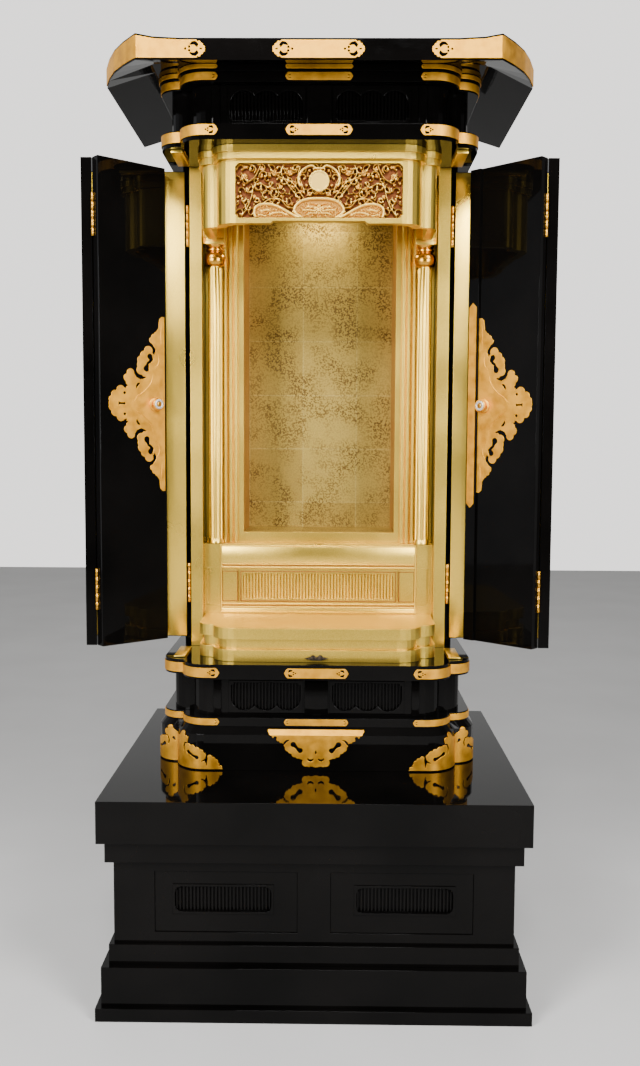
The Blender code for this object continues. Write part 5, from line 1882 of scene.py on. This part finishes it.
@dataclass
class DaisRelief:
    """Facing boards, beads, the slatted panel's frame and painted shade lines in its grooves on the front of
    the dais.
    """

    face: float = 0.0770
    half: float = 0.1855

    def bar(self, xs: Point, zs: Point, proud: float, deep: float = 0.0008) -> Solid:
        """A bar that stands proud of the dais front."""
        return block(
            Vector((xs[0], self.face - proud, zs[0])), Vector((xs[1], self.face + deep, zs[1])), 0.0005
        )

    def beads(self) -> list[Solid]:
        """Round beads along the boards and round the panel."""
        runs = []
        for height, radius in (
            (0.6925, 0.0022), (0.6985, 0.0012), (0.7335, 0.0014), (0.6225, 0.0018), (0.6160, 0.0012)
        ):
            runs.append(([(-self.half, height), (self.half, height)], radius, 0.0006))
        frame_line = [
            (-0.1475, 0.6275), (0.1475, 0.6275), (0.1475, 0.6845), (-0.1475, 0.6845), (-0.1475, 0.6275)
        ]
        runs.append((frame_line, 0.0013, 0.0003))
        for way in (-1, 1):
            corner = [
                (way * 0.1535, 0.6275), (way * 0.1825, 0.6275), (way * 0.1825, 0.6845),
                (way * 0.1535, 0.6845), (way * 0.1535, 0.6275)
            ]
            runs.append((corner, 0.0011, 0.0003))
        shapes = []
        for index, (points, radius, lift) in enumerate(runs):
            path = [Vector((x, self.face - lift, z)) for x, z in points]
            shapes.append(Moulding("dais_bead_%d" % index, path, radius).mesh(GOLD))
        return shapes

    def build(self) -> None:
        """All of the relief."""
        shapes = [
            self.bar((-self.half, self.half), (0.7000, 0.7322), 0.0022),
            self.bar((-self.half, self.half), (0.6062, 0.6140), 0.0022),
        ]
        add_piece("dais_boards", join(shapes), GOLD, Slot.GOLD)
        runs = self.beads()
        add_piece("dais_beads", join(runs[:5]), GOLD, Slot.GOLD, smooth=60.0)
        # painted shade: the lines round the panels are dark gold for the shadow along them
        add_piece("dais_panel_shade_lines", join(runs[5:]), SHADE, Slot.GOLD, smooth=60.0)
        ends = [[Vector((way * 0.1848, self.face - 0.0012, z)) for z in (0.6055, 0.7365)] for way in (-1, 1)]
        add_piece(
            "dais_end_beads", join([Moulding("dais_end", path, 0.0022).mesh(GOLD) for path in ends]), GOLD,
            Slot.GOLD, smooth=60.0
        )
        # painted shade: thin dark strips for the shadow in the grooves between the boards
        groove_shade_strips = [
            self.bar((-self.half, self.half), (low, high), 0.0003)
            for low, high in ((0.6948, 0.6972), (0.6182, 0.6202))
        ]
        add_piece("dais_groove_shade", join(groove_shade_strips), SHADE, Slot.GOLD)


@dataclass
class CuspedFrames:
    """Black frames over the windows of the waist, the neck and the stand, with scalloped corners."""

    inset: float = 0.004

    def opening(self, width: float, height: float, up: bool) -> list[Shape]:
        """Holes whose union is a window with three scallops, measured from its middle.

        Args:
            width: width of the opening.
            height: its height.
            up: whether the scallops are at the top.

        Returns:
            The shapes to pierce.
        """
        side = 1.0 if up else -1.0
        half, rise = width / 2, height / 2
        radius = 0.38 * half
        low, high = sorted((-side * (rise - self.inset), side * (rise - radius)))
        holes: list[Shape] = [rectangle(-half, low, half, high)]
        holes.append(rectangle(self.inset - half, -side * rise, half - self.inset, 0.0))
        for way in (-1, 0, 1):
            size = radius if way else radius * 1.12
            holes.append(disc(way * (half - radius), side * (rise - size), size))
        return holes

    def rounded(self, width: float, height: float, radius: float) -> list[Shape]:
        """Holes whose union is a window with a round cusp at each corner."""
        half, rise = width / 2, height / 2
        holes: list[Shape] = []
        for x, y in ((half, rise - 1.4 * radius), (half - 1.4 * radius, rise)):
            holes.append(rectangle(-x, -y, x, y))
        for way in (-1, 1):
            holes += [
                disc(way * (half - 1.15 * radius), up * (rise - 1.15 * radius), radius) for up in (-1, 1)
            ]
        return holes

    def panel(
        self, name: str, x: float, width: float, low: float, high: float, face: float,
        outer: tuple[float, float, float, float], cusp: float, up: bool
    ) -> Solid:
        """One frame plate.

        Args:
            name: name of the sheet.
            x: middle of the window.
            width: width of the window.
            low: its sill.
            high: its head.
            face: y of the wall that it lies on.
            outer: how far the plate reaches left, right, down and up of the window.
            cusp: radius of its corners' cusps, or 0 for three scallops.
            up: whether the scallops are at the top.

        Returns:
            The plate.
        """
        middle = (low + high) / 2
        left, right, down, above = outer
        box = rectangle(-width / 2 - left, low - middle - down, width / 2 + right, high - middle + above)
        holes = self.rounded(width, high - low, cusp) if cusp else self.opening(width, high - low, up)
        pattern = Pattern([box], holes, 0.0006)
        return Sheet(name, pattern, flat_wrap(face, middle, x), 0.0016, 0.0003).mesh()

    def build(self) -> None:
        """All the frames and the proud stiles between them."""
        for word, low, high, base, up in (
            ("waist", 0.46025, 0.51025, 0.4520, False), ("neck", 1.46525, 1.51525, 1.4570, True)
        ):
            shapes = []
            for side in Side:
                edge = (0.0045, 0.0045, 0.0045, 0.0045)
                shapes.append(
                    self.panel(
                        word, side.value * 0.0885, 0.1215, low + 0.0006, high - 0.0006, -0.102, edge, 0.0, up
                    )
                )
            top = base + 0.0665
            for x0, x1 in ((-0.0205, 0.0205), (-0.1800, -0.1665), (0.1665, 0.1800)):
                shapes.append(
                    block(Vector((x0, -0.1052, base + 0.0004)), Vector((x1, -0.1015, top - 0.0006)), 0.0008)
                )
            add_piece(word + "_frames", join(shapes), LACQUER, Slot.LACQUER, smooth=25.0)
        shapes = []
        for side in Side:
            shapes.append(
                self.panel(
                    "stand", side.value * 0.1465, 0.1555, 0.1722, 0.2139, -0.271,
                    (0.004, 0.004, 0.004, 0.004), 0.0062, True
                )
            )
        add_piece("stand_frames", join(shapes), LACQUER, Slot.LACQUER, smooth=25.0)


@dataclass
class DoorHardware:
    """Hinge knuckles of the side leaves and the folding leaves."""

    jamb: Point = (0.2435, 0.0570)
    leaf: Point = (0.3958, -0.0425)
    half: float = 0.0375
    barrel: float = 0.015

    def knuckles(self, name: str, place: Point, middle: float, body: str) -> None:
        """One hinge: five short barrels in a row."""
        shapes = []
        for index in range(5):
            base = middle - self.half + self.barrel * index
            centre = Vector((place[0], place[1], base))
            shapes.append(
                lathe(
                    [(0.0024, 0.0), (0.0030, 0.0006), (0.0030, 0.0140), (0.0024, 0.0146)], centre,
                    Vector((0.0, 0.0, 1.0)), 12
                )
            )
        add_piece(name, join(shapes), BRONZE, Slot.GILT, body, 50.0)

    def build(self) -> None:
        """Hinges on both sides."""
        for side in Side:
            way = side.value
            for word, middle in (("lower", 0.665), ("upper", 1.325)):
                self.knuckles(
                    "jamb_hinge_%s_%s" % (word, side.label), (way * self.jamb[0], self.jamb[1]), middle,
                    "case"
                )
                self.knuckles(
                    "leaf_hinge_%s_%s" % (word, side.label), (way * self.leaf[0], self.leaf[1]), middle,
                    "side_" + side.label
                )


@dataclass
class SideGilding:
    """Gilt faces that the black case shows behind its doors."""

    def build(self) -> None:
        """Gold skins on the inner faces of the side leaves and gold strips above and below them."""
        shapes = []
        for side in Side:
            way = side.value
            for low, high in ((0.5453, 0.5482), (1.4245, 1.4302)):
                xs = sorted((way * 0.236, way * 0.256))
                shapes.append(block(Vector((xs[0], -0.060, low)), Vector((xs[1], 0.030, high))))
            xs = sorted((way * 0.2485, way * 0.3965))
            skin = block(Vector((xs[0], 0.0558, 0.5635)), Vector((xs[1], 0.0569, 1.4215)), 0.0003)
            add_piece("gilt_side_leaf_" + side.label, skin, GOLD, Slot.GOLD, "side_" + side.label)
        add_piece("gilt_door_stops", join(shapes), GOLD, Slot.GOLD)


class Dressing:
    """Finishes of the carried-over solids."""

    gold = (
        "foot_moulding", "hollow_moulding", "interior_floor", "jamb_left", "jamb_right", "dais_rail",
        "dais_front",
        "dais_top", "block_left", "block_right", "pilaster_left", "pilaster_right", "niche_frame", "lintel",
        "cornice_upper", "cornice_lower",
    )
    gilt = ("door_knob_left", "door_knob_right", "meeting_strip_fitting")

    def apply(self) -> None:
        """Gives each solid its finish."""
        for name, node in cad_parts.items():
            finish: Finish = LACQUER
            if name in self.gold:
                finish = GOLD
            elif name in self.gilt:
                finish = GILT
            elif name == "niche_shell":
                finish = LEAF
            elif name == "sill_catch":
                finish = DARK
            for slot in node.material_slots:
                slot.material = finish.material()


@dataclass
class Studio:
    """Pale floor, soft lights and the camera at the photo's place."""

    location: Point3 = (0.025, -1.916, 0.9223)
    yaw: float = 0.633
    pitch: float = 4.699
    roll: float = 0.30
    focal_pixels: float = 1053.0
    image_height: float = 1066.0

    def camera(self) -> None:
        """Camera with the photo's place, turn and angle of view."""
        yaw, pitch, roll = (math.radians(angle) for angle in (self.yaw, self.pitch, self.roll))
        right = Vector((math.cos(yaw), math.sin(yaw), 0.0))
        ahead = Vector((-math.sin(yaw) * math.cos(pitch), math.cos(yaw) * math.cos(pitch), -math.sin(pitch)))
        over = Vector((-math.sin(yaw) * math.sin(pitch), math.cos(yaw) * math.sin(pitch), math.cos(pitch)))
        across = right * math.cos(roll) + over * math.sin(roll)
        upward = over * math.cos(roll) - right * math.sin(roll)
        data = bpy.data.cameras.new("view")
        data.sensor_fit = "AUTO"
        data.sensor_width = 36.0
        data.lens = 36.0 * self.focal_pixels / self.image_height
        data.clip_start, data.clip_end = 0.05, 60.0
        camera = new_object("view", data)
        camera.matrix_world = Matrix(
            (
                (across.x, upward.x, -ahead.x, self.location[0]),
                (across.y, upward.y, -ahead.y, self.location[1]),
                (across.z, upward.z, -ahead.z, self.location[2]),
                (0.0, 0.0, 0.0, 1.0),
            )
        )
        bpy.context.scene.camera = camera

    def lamp(
        self, name: str, place: Point3, aim: Point3, size: float, power: float,
        colour: Colour = (1.0, 1.0, 1.0)
    ) -> None:
        """A square soft light.

        Args:
            name: name of the light.
            place: where it hangs.
            aim: what it points at.
            size: its side in metres.
            power: its power in watts.
            colour: its colour.
        """
        data = bpy.data.lights.new(name, "AREA")
        data.shape = "SQUARE"
        data.size = size
        data.energy = power
        data.color = colour
        lamp = new_object(name, data)
        lamp.location = place
        lamp.rotation_mode = "QUATERNION"
        lamp.rotation_quaternion = (Vector(aim) - Vector(place)).to_track_quat("-Z", "Y")

    def floor(self) -> None:
        """Plain pale floor."""
        shape = bmesh.new()
        reach = 6.0
        corners = [
            (-reach, -reach, -0.0002), (reach, -reach, -0.0002), (reach, reach, -0.0002),
            (-reach, reach, -0.0002)
        ]
        shape.faces.new([shape.verts.new(corner) for corner in corners])
        mesh = bpy.data.meshes.new("studio_floor")
        shape.to_mesh(mesh)
        shape.free()
        nodes = Shading("pale_floor")
        nodes.drive(
            "Base Color", nodes.ramp(nodes.noise(3.0), [(0.3, (0.52, 0.51, 0.50)), (0.7, (0.56, 0.55, 0.54))])
        )
        nodes.set(Roughness=0.55)
        mesh.materials.append(nodes.material)
        floor = new_object("studio_floor", mesh)

    def world(self) -> None:
        """Pale wall for the camera, and a dark room with a bright ceiling for the lacquer to mirror."""
        world = bpy.data.worlds.new("studio")
        world.use_nodes = True
        tree = world.node_tree
        back = tree.nodes["Background"]
        split = tree.nodes.new("ShaderNodeSeparateXYZ")
        tree.links.new(tree.nodes.new("ShaderNodeTexCoord").outputs["Generated"], split.inputs["Vector"])

        def share(letter: str, start: float, end: float) -> Socket:
            """Share of a direction's coordinate between two values, with soft ends."""
            node = tree.nodes.new("ShaderNodeMapRange")
            node.interpolation_type = "SMOOTHSTEP"
            node.inputs["From Min"].default_value = start
            node.inputs["From Max"].default_value = end
            tree.links.new(split.outputs[letter], node.inputs["Value"])
            return node.outputs["Result"]

        def mixed(amount: Socket, first: Socket | Colour, second: Colour) -> Socket:
            """Mixes two colours."""
            node = tree.nodes.new("ShaderNodeMix")
            node.data_type = "RGBA"
            tree.links.new(amount, node.inputs[0])
            if isinstance(first, tuple):
                node.inputs[6].default_value = (*first, 1.0)
            else:
                tree.links.new(first, node.inputs[6])
            node.inputs[7].default_value = (*second, 1.0)
            return node.outputs[2]

        room = mixed(share("Z", 0.50, 0.90), (0.010, 0.0095, 0.009), (0.30, 0.30, 0.30))
        room = mixed(share("X", -0.62, -0.86), room, (0.80, 0.82, 0.86))
        room = mixed(share("X", 0.90, 0.98), room, (0.45, 0.45, 0.45))
        room = mixed(share("Y", 0.35, 0.70), room, (0.80, 0.80, 0.79))
        seen = tree.nodes.new("ShaderNodeLightPath").outputs["Is Camera Ray"]
        tree.links.new(mixed(seen, room, (1.75, 1.71, 1.67)), back.inputs["Color"])
        bpy.context.scene.world = world

    def build(self) -> None:
        """World, lights, floor and camera."""
        self.world()
        self.lamp("key", (-1.8, -2.2, 3.1), (0.0, 0.0, 0.95), 1.3, 105.0)
        self.lamp("fill", (1.9, -2.2, 3.0), (0.0, 0.0, 0.85), 1.3, 95.0)
        self.lamp("front", (0.0, -3.5, 3.4), (0.0, 0.05, 1.0), 1.0, 110.0)
        self.lamp("box_left", (-1.30, -1.90, 1.25), (0.0, 0.0, 1.0), 0.7, 42.0)
        self.lamp("box_right", (1.35, -1.90, 1.20), (0.0, 0.0, 1.0), 0.7, 40.0)
        self.lamp("niche_lamp", (0.0, 0.15, 1.392), (0.0, 0.22, 0.9), 0.10, 0.8, (1.0, 0.90, 0.55))
        self.floor()
        self.camera()


def build_straps() -> None:
    """All the straps, from the crest board down to the lower board."""
    board = LobedEdge(0.236, 0.274, -0.120, 0.046, 0.038)
    crest = LobedEdge(0.239, 0.277, -0.123, 0.0475, 0.0395)
    straps = Straps()
    straps.build("crest_straps", crest, 1.5435, 0.0072, False)
    straps.build("top_board_straps", board, 1.5259, 0.0128, False)
    straps.build("head_board_straps", board, 1.4373, 0.0178, True)
    straps.build("sill_board_straps", board, 0.5219, 0.0172, True)
    straps.build("lower_board_straps", board, 0.4384, 0.0115, False)


def main() -> None:
    """Builds and dresses the altar in order."""
    Dressing().apply()
    RoofPlates().build()
    build_straps()
    BaseFittings().centre()
    BaseFittings().corners()
    Carving().build()
    SlatWindows().build()
    Columns().build()
    DaisRelief().build()
    CuspedFrames().build()
    plates = DoorPlates()
    plates.build(Side.LEFT, math.radians(49.0), plates.leaf - plates.edge)
    plates.build(Side.RIGHT, math.radians(46.5), plates.leaf - 0.0113)
    DoorHardware().build()
    SideGilding().build()
    Studio().build()


if __name__ == "__main__":
    main()
